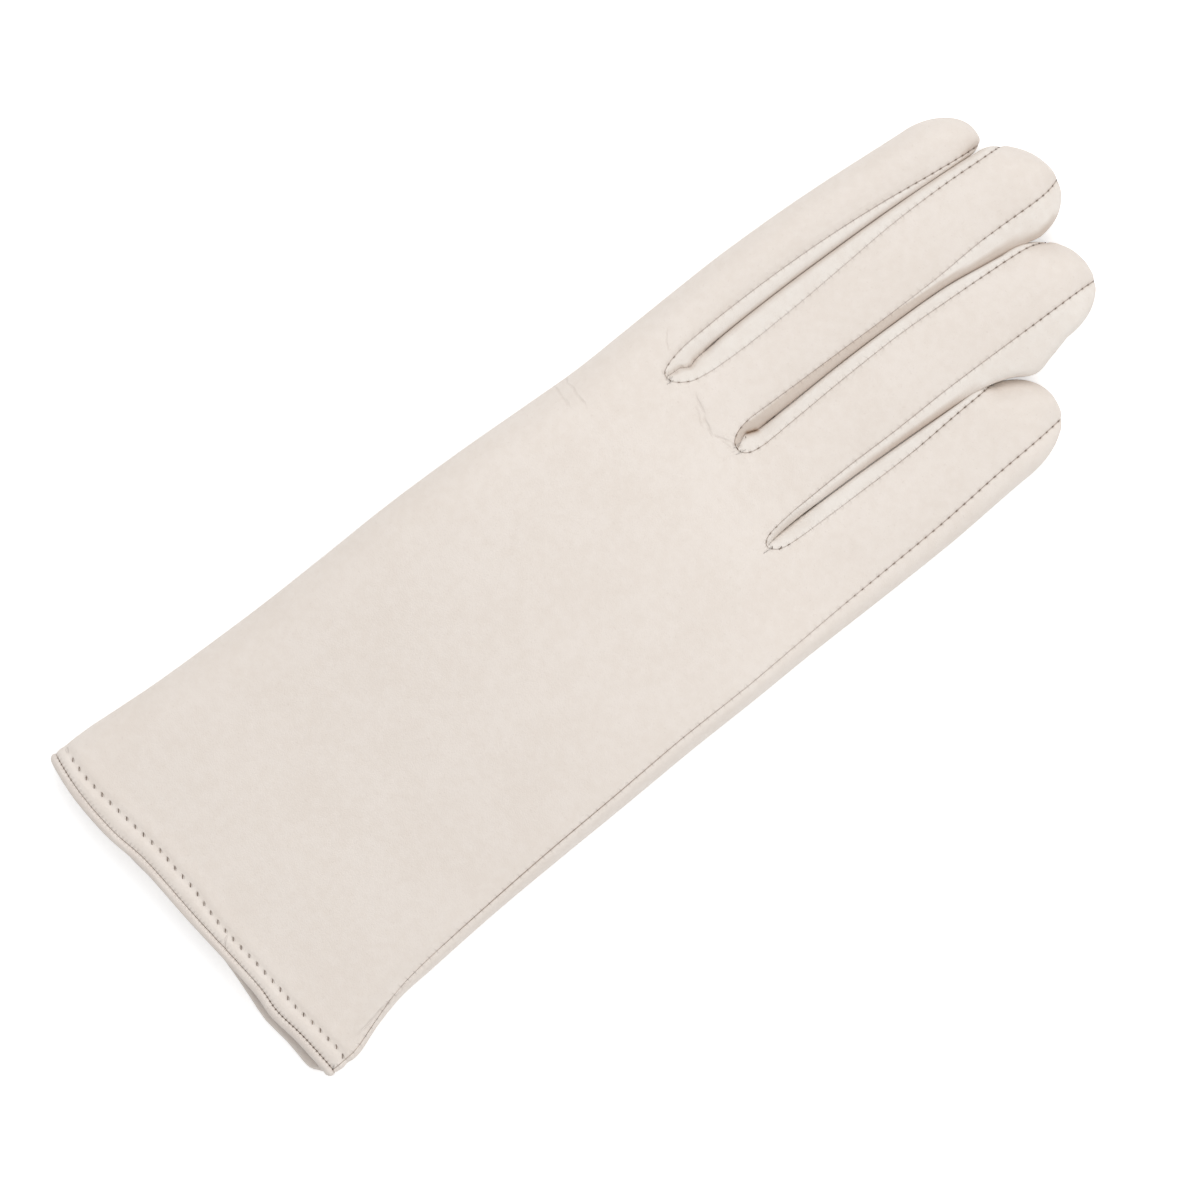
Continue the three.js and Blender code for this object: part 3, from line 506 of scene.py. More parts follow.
@dataclass
class Finger:
    """One finger, with the part of the hand below it."""

    name: str
    hand: HandShape
    cap_from: float
    tip_along: float
    tip_across: float
    roundness: float
    gap_before: Gap | None = None
    gap_after: Gap | None = None
    end_before: float = 0
    end_after: float = 0
    swells: bool = False

    def gap(self, side: Side) -> Gap | None:
        """The gap on one side."""
        return self.gap_before if side is Side.INDEX else self.gap_after

    def ring_along(self, ring: Array | float) -> Array:
        """Station of a ring of the rounded end, closer together towards the tip."""
        turn = np.sin(np.asarray(ring) / SIZES.cap_rings * QUARTER)
        return lerp(self.cap_from, self.tip_along, turn)

    def side_end(self, side: Side) -> float:
        """Station where the two seams of a side run out into one."""
        return float(self.ring_along(self.end_before if side is Side.INDEX else self.end_after))

    def straight(self, side: Side, along: Array) -> Array:
        """The widest line before the rounded end."""
        gap = self.gap(side)
        if gap is None:
            return self.hand.left(along) if side is Side.INDEX else self.hand.right(along)
        pushed = RING_SWELL.curve("right")(along) if self.swells and side is Side.OUTER else 0
        return gap.middle(along) - side.value * SIZES.finger_clearance + pushed

    def closing(self, along: Array, exponent: float | None = None) -> Array:
        """Share of the full width and height left at a station of the rounded end."""
        power = exponent or self.roundness
        share = share_of(along, self.cap_from, self.tip_along)
        return (1 - share**power) ** (1 / power)

    def outline(self, side: Side, along: Array) -> Array:
        """The finger's widest line."""
        start = np.minimum(along, self.cap_from)
        left = self.straight(Side.INDEX, start)
        right = self.straight(Side.OUTER, start)
        share = share_of(along, self.cap_from, self.tip_along)
        centre = lerp((left + right) / 2, self.tip_across, share**SIZES.tip_lean)
        return centre + side.value * (right - left) * self.closing(along) / 2

    def run_out(self, side: Side, along: Array) -> Array:
        """How far the seams of a side have run out to the widest line."""
        if self.gap(side) is None and side is Side.INDEX:
            return np.zeros(np.shape(along))
        return share_of(along, self.cap_from, self.side_end(side))

    def run_seam(self, side: Side, along: Array, line: Callable[[Array], Array]) -> Array:
        """A seam that follows its line and runs out to the widest line in the rounded end."""
        start = np.minimum(along, self.cap_from)
        slope = line(self.cap_from) - line(self.cap_from - 1)
        straight_on = line(start) + slope * (np.asarray(along, float) - start)
        end = self.side_end(side)
        if end <= self.cap_from:
            return straight_on
        left_over = self.outline(side, end) - (line(self.cap_from) + slope * (end - self.cap_from))
        turned = straight_on + left_over * self.run_out(side, along) ** SIZES.seam_straightness
        return np.where(np.asarray(along) >= end, self.outline(side, along), turned)

    def back_seam(self, side: Side, along: Array) -> Array:
        """The seam on the back."""
        gap = self.gap(side)
        if gap is None:
            return self.run_seam(side, along, self.hand.seam)
        name = "after" if side is Side.INDEX else "before"
        return self.run_seam(side, along, lambda at: gap.line(name, at))

    def palm_seam(self, side: Side, along: Array) -> Array:
        """The seam under the finger."""
        inset = side.value * SIZES.palm_seam_inset
        return self.run_seam(side, along, lambda at: self.straight(side, at) - inset)

    def height(self, level: Array | float, along: Array) -> Array:
        """A level drawn in towards the widest one as the end closes."""
        return lerp(SIZES.finger_side, level, self.closing(along, SIZES.end_roundness))

    def seam_height(self, side: Side, along: Array) -> Array:
        """Height of the back seam."""
        open_height = self.height(SIZES.finger_seam, along)
        return lerp(open_height, SIZES.finger_side, self.run_out(side, along) ** 3)

    def floor(self, across: Array, along: Array) -> Array:
        """Height of the underside."""
        return self.height(self.hand.palm_floor(across, along), along)


@dataclass(frozen=True)
class Columns:
    """How a strip is divided across: distances from either edge, and a count between them."""

    left: tuple[float, ...]
    between: int
    right: tuple[float, ...]
    least_step: float = 0.5  # room that each column between them needs
    ease: float = 4.0  # distance from an edge at which a column has left it

    def place(self, left: Array, right: Array, eased_left: Array, eased_right: Array) -> Array:
        """Across-measures of every column for each row.

        Args:
            left: The left edge, a value for each row.
            right: The right edge.
            eased_left: The left edge as the inner columns see it, without its sudden opening.
            eased_right: The same for the right edge.

        Returns:
            An array with a row for each row and a column for each column.
        """
        width = right - left
        needed = self.left[-1] + self.right[-1] + self.least_step * self.between
        scale = np.minimum(1, width / max(needed, THIN))[:, None]
        from_left = np.array(self.left)[None, :]
        from_right = np.array(self.right[::-1])[None, :]
        eased = (eased_left - left)[:, None] * smooth(from_left, 0, self.ease) * scale
        lefts = left[:, None] + from_left * scale + eased
        eased = (right - eased_right)[:, None] * smooth(from_right, 0, self.ease) * scale
        rights = right[:, None] - from_right * scale - eased
        shares = np.linspace(0, 1, self.between + 2)[1:-1][None, :]
        middles = lerp(lefts[:, -1:], rights[:, :1], shares)
        return np.hstack([lefts, middles, rights])


SEAM_STEPS = (0.0, 0.2, 0.42, 0.7, 1.1, 1.75, 2.8)
PALM_STEPS = (0.0, 0.35, 0.8, 1.6)
BACK_COLUMNS = Columns(SEAM_STEPS, 14, SEAM_STEPS)
INDEX_COLUMNS = Columns((0.0,), 14, SEAM_STEPS)
PALM_COLUMNS = Columns(PALM_STEPS, 5, PALM_STEPS)
FOLD_SHARES = np.linspace(0, 1, 13)
WRAP_SHARES = (np.array([0, 0.2, 0.42, 0.7, 1.1, 1.75, 2.6, 3.6, 4.7, 5.8, 7.0]) / 7.0) ** 1.15
ROUND_SHARES = np.linspace(0, 1, 6)
SLOPE_SHARES = np.array([0, 0.05, 0.11, 0.18, 0.28, 0.42, 0.6, 0.8, 1.0])
BAND_SHARES = np.linspace(0, 1, 5)


@dataclass(frozen=True)
class Strip:
    """A strip of the trank, from the cuff up to the end of one finger.

    hem tells how far its columns follow the palm's cuff edge and not the back's, and sewn that its
    first column is a sewn edge.
    """

    finger: Finger
    shape: Callable[[Array], Array]
    hem: Array | float
    sewn: bool = False

    def points(self, along: Array) -> Array:
        """Its points at each station."""
        return self.finger.hand.waved(self.shape(along), self.hem)


class GlovePattern:
    """The shape shared by every piece: fingers, hand and the strips between their seams."""

    def __init__(self) -> None:
        """Makes the hand, the gaps and the four fingers."""
        self.hand = HandShape(SIZES)
        self.hole = ThumbHole()
        self.gaps = [
            Gap(INDEX_GAP, web=181, palm_slit=172.8, foot=-26),
            Gap(MIDDLE_GAP, web=181, palm_slit=173.4, foot=-2),
            Gap(LITTLE_GAP, web=175, palm_slit=166, foot=22),
        ]
        first, second, third = self.gaps
        hand = self.hand
        self.index = Finger("index", hand, 250, 263.8, -29.9, 2.5, gap_after=first, end_after=4.25)
        self.middle = Finger("middle", hand, 260, 272.2, -11.7, 1.95, first, second, 2, 5)
        self.ring = Finger("ring", hand, 250, 264.9, 10.6, 2.1, second, third, 3, 4.5, swells=True)
        self.little = Finger("little", hand, 222, 239.2, 30.6, 2.1, third, None, 1.75, 4.25)
        self.fingers = (self.index, self.middle, self.ring, self.little)

    def strips(self) -> list[Strip]:
        """The trank's strips in order, once round the hand from the index fold."""
        index, little = self.index, self.little
        found = [
            Strip(index, partial(self.index_fold, FOLD_SHARES), 0),
            Strip(index, partial(self.back_strip, index, INDEX_COLUMNS), 0),
        ]
        for finger in self.fingers[1:]:
            found.append(Strip(finger, partial(self.back_strip, finger, BACK_COLUMNS), 0))
        found.append(Strip(little, partial(self.outer_wrap, WRAP_SHARES), WRAP_SHARES, sewn=True))
        found.append(Strip(little, partial(self.palm_rounding, little, Side.OUTER, ROUND_SHARES), 1))
        for finger in self.fingers[::-1]:
            found.append(Strip(finger, partial(self.palm_strip, finger, PALM_COLUMNS), 1))
        fold = partial(self.palm_rounding, index, Side.INDEX, ROUND_SHARES)
        return [*found, Strip(index, fold, 1 - ROUND_SHARES)]

    def back_edge(self, finger: Finger, side: Side, along: Array) -> Array:
        """Edge of a back strip: one line below the slit, the finger's own seam above it."""
        gap = finger.gap(side)
        if gap is None:
            return finger.back_seam(side, along)
        return np.where(along <= gap.slit, gap.middle(along), finger.back_seam(side, along))

    def eased_edge(self, finger: Finger, side: Side, along: Array) -> Array:
        """The same edge for the inner columns, which don't follow the slit's sudden opening."""
        gap = finger.gap(side)
        edge = self.back_edge(finger, side, along)
        if gap is None:
            return edge
        reach = gap.slit + SIZES.slit_ease
        open_share = smooth(along, gap.slit - SIZES.slit_ease, reach)
        opened = float(finger.back_seam(side, reach))
        eased = lerp(gap.middle(np.minimum(along, gap.slit)), opened, open_share)
        return np.where(along >= reach, edge, eased)

    def back_height(self, finger: Finger, across: Array, along: Array, side: Side, bow: Array) -> Array:
        """Height of the back: the hand's crown turning into the finger's own section.

        Args:
            finger: The finger that the strip runs up to.
            across: Across-measures.
            along: Along-measures.
            side: Which seam's height counts.
            bow: 0 at the finger's crown and 1 at its seams.

        Returns:
            The heights.
        """
        on_finger = lerp(finger.height(SIZES.finger_top, along), finger.seam_height(side, along), bow)
        return lerp(self.hand.crown(across, along), on_finger, self.hand.knuckle(along))

    def side_level(self, side: Side, along: Array) -> Array:
        """Height of the widest line at the folded side or the outer side."""
        level = self.hand.left_side(along) if side is Side.INDEX else self.hand.right_side(along)
        return lerp(level, SIZES.finger_side, self.hand.knuckle(along))

    def index_shoulder(self, along: Array) -> Array:
        """Where the back turns down into the folded side."""
        radius = lerp(SIZES.body_shoulder, SIZES.finger_shoulder, self.hand.knuckle(along))
        return self.index.outline(Side.INDEX, along) + radius * self.index.closing(along)

    def back_strip(self, finger: Finger, columns: Columns, along: Array) -> Array:
        """Points of the back over one finger."""
        if finger is self.index:
            left = eased_left = self.index_shoulder(along)
        else:
            left = self.back_edge(finger, Side.INDEX, along)
            eased_left = self.eased_edge(finger, Side.INDEX, along)
        right = self.back_edge(finger, Side.OUTER, along)
        eased_right = self.eased_edge(finger, Side.OUTER, along)
        across = columns.place(left, right, eased_left, eased_right)
        rows = np.broadcast_to(along[:, None], across.shape)
        width = np.maximum(right - left, THIN)[:, None]
        share = clamped((across - left[:, None]) / width)
        share[:, 0], share[:, -1] = 0, 1
        if finger is self.index:
            bow = share**2 * self.creased(finger, Side.OUTER, rows)
            up = self.back_height(finger, across, rows, Side.OUTER, bow)
        else:
            bow = (2 * share - 1) ** 2
            halves = [
                self.back_height(finger, across, rows, side, bow * self.creased(finger, side, rows))
                for side in Side
            ]
            up = np.where(share < 0.5, *halves)
        return joined(across, rows, up)

    @staticmethod
    def creased(finger: Finger, side: Side, along: Array) -> Array:
        """How far the back dips towards a seam: it fades out below the slit."""
        gap = finger.gap(side)
        return smooth(along, gap.slit - SIZES.crease_below_slit, gap.slit) if gap else np.ones(along.shape)

    def index_fold(self, shares: Array, along: Array) -> Array:
        """Points of the folded side, from its widest line up to the back."""
        angle = shares[None, :] * QUARTER
        shoulder = self.index_shoulder(along)[:, None]
        rows = along[:, None]
        edge = self.index.outline(Side.INDEX, rows)
        across = lerp(shoulder, edge, np.cos(angle))
        top = self.back_height(self.index, shoulder, rows, Side.OUTER, 0)
        up = lerp(self.side_level(Side.INDEX, rows), top, np.sin(angle))
        return joined(across, rows, up)

    def outer_wrap(self, shares: Array, along: Array) -> Array:
        """Points of the palm leather from the outer seam down to the widest line."""
        angle = shares[None, :] * QUARTER
        rows = along[:, None]
        seam = self.little.back_seam(Side.OUTER, rows)
        seam_up = self.back_height(self.little, seam, rows, Side.OUTER, 1)
        fullness = 2 / SIZES.outer_fullness
        across = lerp(seam, self.little.outline(Side.OUTER, rows), np.sin(angle) ** fullness)
        up = lerp(self.side_level(Side.OUTER, rows), seam_up, np.maximum(np.cos(angle), 0) ** fullness)
        return joined(across, rows, up)

    def palm_line(self, gap: Gap, along: Array) -> Array:
        """The line in the palm below a slit; the first one runs down through the thumb's opening."""
        if gap is not self.gaps[0]:
            return gap.middle(along)
        hole_end = self.hole.along + self.hole.length
        above = smooth(along, hole_end, gap.palm_slit - SIZES.slit_approach)
        return lerp(self.hole.across, gap.middle(gap.palm_slit), above)

    def palm_edge(self, finger: Finger, side: Side, along: Array) -> Array:
        """Edge of a palm strip."""
        gap = finger.gap(side)
        if gap is None:
            return finger.outline(side, along) - side.value * SIZES.palm_round * finger.closing(along)
        hole = self.hole.reach(along) if gap is self.gaps[0] else 0
        below = self.palm_line(gap, along) - side.value * hole
        end = gap.web + SIZES.web_spread
        open_share = share_of(along, gap.palm_slit, end)
        rounded = np.sqrt(1 - (1 - open_share) ** 2)
        above = lerp(gap.middle(along), finger.palm_seam(side, along), rounded)
        return np.where(along <= gap.palm_slit, below, above)

    def palm_seam_height(self, finger: Finger, side: Side, across: Array, along: Array) -> Array:
        """Height of a palm strip's edge."""
        share = finger.run_out(side, along) ** 3 if finger.gap(side) else 0
        return lerp(finger.floor(across, along), SIZES.finger_side, share)

    def palm_strip(self, finger: Finger, columns: Columns, along: Array) -> Array:
        """Points of the palm under one finger, from its outer edge to its index edge."""
        outer = self.palm_edge(finger, Side.OUTER, along)
        inner = self.palm_edge(finger, Side.INDEX, along)
        across = columns.place(inner, outer, inner, outer)[:, ::-1]
        rows = np.broadcast_to(along[:, None], across.shape)
        share = clamped((outer[:, None] - across) / np.maximum(outer - inner, THIN)[:, None])
        share[:, 0], share[:, -1] = 0, 1
        bow = (2 * share - 1) ** 4
        floor = finger.floor(across, rows)
        first = lerp(floor, self.palm_seam_height(finger, Side.OUTER, across, rows), bow)
        last = lerp(floor, self.palm_seam_height(finger, Side.INDEX, across, rows), bow)
        return joined(across, rows, np.where(share < 0.5, first, last))

    def palm_rounding(self, finger: Finger, side: Side, shares: Array, along: Array) -> Array:
        """Points of the rounding between the underside and the widest line."""
        angle = (1 - shares if side is Side.INDEX else shares)[None, :] * QUARTER
        rows = along[:, None]
        inner = self.palm_edge(finger, side, rows)
        across = lerp(inner, finger.outline(side, rows), np.cos(angle))
        up = lerp(self.side_level(side, rows), finger.floor(inner, rows), np.sin(angle))
        return joined(across, rows, up)

    def valley(self, gap: Gap, upper: bool, along: Array) -> Array:
        """Height of the fold line where the two walls of a gap meet below its web."""
        start = gap.start(upper)
        line = gap.middle(start)
        if upper:
            rim = lerp(self.hand.crown(line, start), SIZES.finger_seam, self.hand.knuckle(start))
        else:
            rim = self.hand.palm_floor(line, start)
        depth = np.sin(QUARTER * share_of(along, start, gap.web))
        return lerp(rim, SIZES.web_top if upper else SIZES.web_foot, depth)


@dataclass
class SideWall:
    """Upper or lower half of a finger's side wall, from its seam to its widest line.

    Beyond the web the section is round; the walls of two fingers leave one another over the first
    stretch of it.
    """

    pattern: GlovePattern
    finger: Finger
    side: Side
    upper: bool

    def __post_init__(self) -> None:
        """Works out the angle of the round section at which the web's edge lies."""
        self.gap = self.finger.gap(self.side)
        seam_level = SIZES.finger_seam if self.upper else 0.0
        self.web_level = SIZES.web_top if self.upper else SIZES.web_foot
        drop = (self.web_level - SIZES.strip_side) / (seam_level - SIZES.strip_side)
        full = self.side is Side.INDEX or self.finger.swells
        self.fullness = SIZES.full_strip if full else SIZES.slack_strip
        self.web_angle = math.acos(drop ** (self.fullness / 2))
        self.web_share = float(self.out(self.web_angle))
        self.web_drop = float(self.down(self.web_angle))

    def out(self, angle: Array | float) -> Array:
        """Share of the way out to the widest line at an angle of the section."""
        return np.sin(angle) ** (2 / self.fullness)

    def down(self, angle: Array | float) -> Array:
        """Share of the way down to the widest line at an angle of the section."""
        return 1 - np.maximum(np.cos(angle), 0) ** (2 / self.fullness)

    def seam(self, along: Array) -> tuple[Array, Array]:
        """Across-measure and height of the seam."""
        pattern, finger, side = self.pattern, self.finger, self.side
        if self.upper:
            across = pattern.back_edge(finger, side, along)
            return across, pattern.back_height(finger, across, along, side, 1)
        across = pattern.palm_edge(finger, side, along)
        return across, pattern.palm_seam_height(finger, side, across, along)

    def touching(self, along: Array) -> Array:
        """Height of the widest line."""
        return lerp(SIZES.strip_side, SIZES.finger_side, self.finger.run_out(self.side, along) ** 2)

    def spread(self, along: Array) -> Array:
        """How far the walls of the two fingers have parted."""
        return clamped((along - self.gap.web) / SIZES.web_spread)

    def web_edge(self, along: Array) -> tuple[Array, Array]:
        """Across-measure and height of the line between slope and band."""
        across, up = self.seam(along)
        widest = self.finger.outline(self.side, along)
        round_across = lerp(across, widest, self.web_share)
        round_up = lerp(up, self.touching(along), self.web_drop)
        middle = self.gap.middle(along)
        spread = self.spread(along)
        below = along < self.gap.web
        valley = self.pattern.valley(self.gap, self.upper, along)
        return (
            np.where(below, middle, lerp(middle, round_across, spread)),
            np.where(below, valley, lerp(self.web_level, round_up, spread)),
        )

    def slope(self, shares: Array, along: Array) -> Array:
        """Points from the seam to the web's edge."""
        share = shares[None, :]
        rows = along[:, None]
        seam_across, seam_up = self.seam(rows)
        web_across, web_up = self.web_edge(rows)
        angle = share ** (self.fullness / 2) * self.web_angle
        out = self.out(angle) / self.web_share
        down = self.down(angle) / self.web_drop
        roundness = lerp(SIZES.web_roundness, 1, self.spread(rows))
        across = lerp(seam_across, web_across, lerp(share, out, roundness))
        up = lerp(seam_up, web_up, lerp(share, down, roundness))
        return joined(across, rows, up)

    def band(self, shares: Array, along: Array) -> Array:
        """Points from the web's edge to the widest line."""
        share = shares[None, :]
        rows = along[:, None]
        web_across, web_up = self.web_edge(rows)
        middle = self.gap.middle(rows)
        roundness = self.spread(rows)
        widest = lerp(middle, self.finger.outline(self.side, rows), roundness)
        angle = lerp(self.web_angle, QUARTER, share)
        out = (self.out(angle) - self.web_share) / (1 - self.web_share)
        down = (self.down(angle) - self.web_drop) / (1 - self.web_drop)
        across = lerp(web_across, widest, lerp(share, out, roundness))
        up = lerp(web_up, self.touching(rows), lerp(share, down, roundness))
        return joined(across, rows, up)


class Rows:
    """Stations along the glove: close together where slits open and fingers end."""

    own_from = 181.0  # beyond it each finger has rows of its own
    slit_steps = (np.arange(1, 9) * 0.17) ** 2
    cuff_steps = np.arange(1, 24) * 0.45
    even_from = 10.5
    end_rows = 25
    legs = {
        "index": (186, 194, 207, 221, 236, 250),
        "middle": (186, 194, 207, 221, 235, 247, 254, 260),
        "ring": (186, 194, 207, 220, 228, 234, 239, 244, 250),
        "little": (186, 194, 208, 222),
    }
    hand_kept = (
        (0, 4, 10, 20, 32, 46, 62, 80, 92, 95, 101, 106, 111, 117, 120, 132, 145, 154, 160)
        + (164, 164.6, 166, 168.5, 170.2, 170.8, 172.8, 173.4, 175, 177.5, 181)
    )

    def __init__(self, pattern: GlovePattern, pitch: float) -> None:
        """Collects the stations shared by the whole width of the hand.

        Args:
            pattern: The glove's shape.
            pitch: Usual distance between rows.
        """
        self.pattern = pattern
        self.pitch = pitch
        hole = pattern.hole
        starts = [start for gap in pattern.gaps for start in (gap.slit, gap.palm_slit)]
        close = [start + step for start in starts for step in self.slit_steps]
        close += [hole.along - hole.length + step for step in self.slit_steps]
        close += [hole.along + hole.length - step for step in self.slit_steps]
        rows = self.merged(self.hand_kept, close, least=0.015)
        rows = self.merged(rows, self.cuff_steps, least=0.2)
        even = np.arange(self.even_from, self.own_from, pitch)
        self.shared = self.merged(rows, even, least=0.45 * pitch)

    @staticmethod
    def merged(kept: Iterable[float], others: Iterable[float], least: float) -> list[float]:
        """Kept stations, with the others that lie at least a distance from them.

        Args:
            kept: Stations that always stay.
            others: Stations that stay unless one is too near.
            least: The least distance.

        Returns:
            All stations in order.
        """
        rows = sorted(set(float(row) for row in kept))
        for station in others:
            i = int(np.searchsorted(rows, station))
            if min(abs(station - row) for row in rows[max(i - 1, 0) : i + 1]) > least:
                rows.insert(i, float(station))
        return rows

    def of(self, finger: Finger, start: float = 0, end: float = FAR) -> tuple[Array, Array]:
        """Stations of a finger and of the hand below it.

        Args:
            finger: The finger.
            start: First station wanted.
            end: Last station wanted.

        Returns:
            The stations, and for each whether the inside of the leather keeps it.
        """
        rings = [float(finger.ring_along(ring + 1)) for ring in range(SIZES.cap_rings)]
        kept = [*self.legs[finger.name], *rings, *(finger.side_end(side) for side in Side)]
        kept = [row for row in kept if row > self.own_from]
        fine = [float(finger.ring_along(ring)) for ring in np.linspace(0, SIZES.cap_rings, self.end_rows)]
        own = self.merged(kept, fine, least=0.01)
        even = np.arange(self.own_from + self.pitch, finger.cap_from, self.pitch)
        own = self.merged(own, even, least=0.3 * self.pitch)
        rows = np.array(self.shared + [row for row in own if row > self.own_from])
        wanted = (rows >= start) & (rows <= end)
        return rows[wanted], np.isin(rows, list(self.hand_kept) + kept)[wanted]


@dataclass
class StitchLine:
    """A line that stitches follow.

    sunk is how far the leather's edge rolls down into it at most. For each point, dark tells how
    deep the seam is and how much dirt and painted shade darken its groove, and shows how much of the thread
    shows.
    """

    name: str
    points: Array
    pitch: float
    sunk: float
    dark: Array
    shows: Array

    def __post_init__(self) -> None:
        """Measures the line."""
        self.run = run_along(self.points)

    def at(self, run: Array) -> tuple[Array, Array, Array, Array]:
        """Points, directions, darkness and show at distances along the line."""
        step = 0.3
        points, ahead, behind = (picked(self.points, self.run, run + by) for by in (0, step, -step))
        dark, shows = (np.interp(run, self.run, values) for values in (self.dark, self.shows))
        return points, unit(ahead - behind), dark, shows


class SeamPlan:
    """Every sewn line of the glove."""

    dark_above_slit = (4, 20)  # stations of SEAM_DARKNESS, up from the slit
    dark_below_end = (40, 8)  # and down from the end of the seam
    shown_below_end = (32, 14)  # where the thread starts to show, and where it shows fully
    shown_above_slit = (4, 10)
    slit_show = 0.7
    shown_dark = (0.1, 0.5)

    def __init__(self, pattern: GlovePattern) -> None:
        """Draws the seams of the fingers, the outer side, the webs and the cuff."""
        self.pattern = pattern
        self.lines: list[StitchLine] = []
        for finger in pattern.fingers:
            for side in Side:
                if finger.gap(side):
                    self.draw_finger(finger, side)
        self.draw_outer_seam()
        self.draw_webs()
        self.draw_cuff_edge()

    def draw_finger(self, finger: Finger, side: Side) -> None:
        """Adds the back and palm seams of one side of a finger."""
        gap, end = finger.gap(side), finger.side_end(side)
        for upper in (True, False):
            wall = SideWall(self.pattern, finger, side, upper)
            start = gap.start(upper)
            rise = np.linspace(0, math.sqrt(end - start), 500)
            along = start + rise**2
            along[-1] = end
            across, up = wall.seam(along)
            stations = [start + step for step in self.dark_above_slit]
            stations += [end - step for step in self.dark_below_end]
            dark = np.interp(along, stations, SEAM_DARKNESS[finger.name, side])
            near_tip = smooth(along, *(end - step for step in self.shown_below_end))
            near_slit = 1 - smooth(along, *(start + step for step in self.shown_above_slit))
            shows = np.maximum(near_tip, self.slit_show * near_slit) * smooth(dark, *self.shown_dark)
            name = f"{'back' if upper else 'palm'}_seam_{finger.name}_{side.name.lower()}"
            points = joined(across, along, up)
            self.lines.append(StitchLine(name, points, pitch=2.2, sunk=0.24, dark=dark, shows=shows))

    def draw_outer_seam(self) -> None:
        """Adds the seam between back and palm on the little finger's side."""
        little = self.pattern.little
        along = np.linspace(0, little.side_end(Side.OUTER), 900)
        across = little.back_seam(Side.OUTER, along)
        up = self.pattern.back_height(little, across, along, Side.OUTER, 1)
        points = self.pattern.hand.waved(joined(across, along, up), 0)
        dark = OUTER_SEAM.curve("dark")(along)
        shows = smooth(along, 155, 185)
        line = StitchLine("outer_seam", points, pitch=2.4, sunk=0.26, dark=dark, shows=shows)
        self.lines.append(line)

    def draw_webs(self) -> None:
        """Adds the short seams between the two fourchettes of each gap."""
        for number, gap in enumerate(self.pattern.gaps):
            for upper in (True, False):
                along = np.linspace(gap.start(upper), gap.web, 60)
                none = np.zeros(len(along))
                up = self.pattern.valley(gap, upper, along)
                points = joined(gap.middle(along), along, up)
                name = f"{'upper' if upper else 'lower'}_web_{number}"
                line = StitchLine(name, points, pitch=2.0, sunk=0.15, dark=none, shows=none)
                self.lines.append(line)

    def draw_cuff_edge(self) -> None:
        """Adds the edge that the binding is sewn to, on the back and on the palm."""
        back_strips = [strip for strip in self.pattern.strips() if not np.any(strip.hem)]
        back = np.concatenate([strip.points(np.zeros(1))[0] for strip in back_strips])
        ends = CuffBinding.gathered(back)
        dark, pitch = CuffBinding.darkness(ends), CuffBinding.tick_pitch
        self.lines.append(StitchLine("binding_back", back, pitch, sunk=0.22, dark=dark, shows=ends))
        across = np.linspace(-45, 45, 200)
        palm = self.pattern.hand.waved(joined(across, 0 * across, 0), 1)
        dark, none = np.full(len(across), 0.3), np.zeros(len(across))
        self.lines.append(StitchLine("binding_palm", palm, pitch, sunk=0.0, dark=dark, shows=none))


class SeamFinder:
    """Finds, for points of the leather, the nearest sewn line."""

    spacing = 0.15
    least_depth = 0.5  # depth of a seam without any darkness, as a share of its full depth

    def __init__(self, lines: Sequence[StitchLine]) -> None:
        """Puts close samples of every line into a search tree."""
        samples = [(line, np.arange(0, line.run[-1], self.spacing)) for line in lines]
        laid = [line.at(run) for line, run in samples]
        self.points, self.along, self.dark, self.shows = (np.concatenate(part) for part in zip(*laid))
        self.run = np.concatenate([run for _, run in samples])
        self.pitch = np.concatenate([np.full(len(run), line.pitch) for line, run in samples])
        self.sunk = np.concatenate([np.full(len(run), line.sunk) for line, run in samples])
        self.tree = search_tree(self.points)

    def nearest(self, points: Array) -> tuple[Array, dict[str, Array]]:
        """Depth of the nearest line at each point, and its measures as marks for the leather."""
        number = np.array([self.tree.find(point)[1] for point in points])
        off = points - self.points[number]
        beside = (off * self.along[number]).sum(1)
        away = np.sqrt(np.maximum((off * off).sum(1) - beside * beside, 0))
        dark = self.dark[number]
        marks = {
            "seam_away": away,
            "seam_stitch": (self.run[number] + beside) / self.pitch[number],
            "seam_dark": dark,
            "seam_shows": self.shows[number],
        }
        return self.sunk[number] * lerp(self.least_depth, 1, dark), marks


@dataclass(frozen=True)
class Swell:
    """A soft rise or hollow of the leather, oval seen from above."""

    across: float
    along: float
    half_across: float
    half_along: float
    rise: float
    turn: float = 0.0

    def height(self, points: Array) -> Array:
        """Its height at each point."""
        c, s = math.cos(self.turn), math.sin(self.turn)
        x, y = points[:, 0] - self.across, points[:, 1] - self.along
        u = (x * c + y * s) / self.half_across
        v = (y * c - x * s) / self.half_along
        return self.rise * np.exp(-(u * u + v * v))


@dataclass(frozen=True)
class Ridge:
    """A soft ridge or furrow along a line of points (across, along)."""

    line: tuple[tuple[float, float], ...]
    half_width: float
    rise: float
    fade: float = 6.0

    def height(self, points: Array) -> Array:
        """Its height at each point; it fades out towards both ends."""
        line = np.array(self.line)
        best = np.full(len(points), FAR)
        run = np.zeros(len(points))
        total = 0.0
        for a, b in zip(line[:-1], line[1:]):
            step = b - a
            length = float(np.hypot(*step))
            share = clamped(((points[:, :2] - a) @ step) / length**2)
            away = np.linalg.norm(points[:, :2] - a - share[:, None] * step, axis=1)
            nearer = away < best
            best = np.where(nearer, away, best)
            run = np.where(nearer, total + share * length, run)
            total += length
        ends = smooth(np.minimum(run, total - run), 0, min(self.fade, total / 2))
        return self.rise * ends * np.exp(-((best / self.half_width) ** 2))


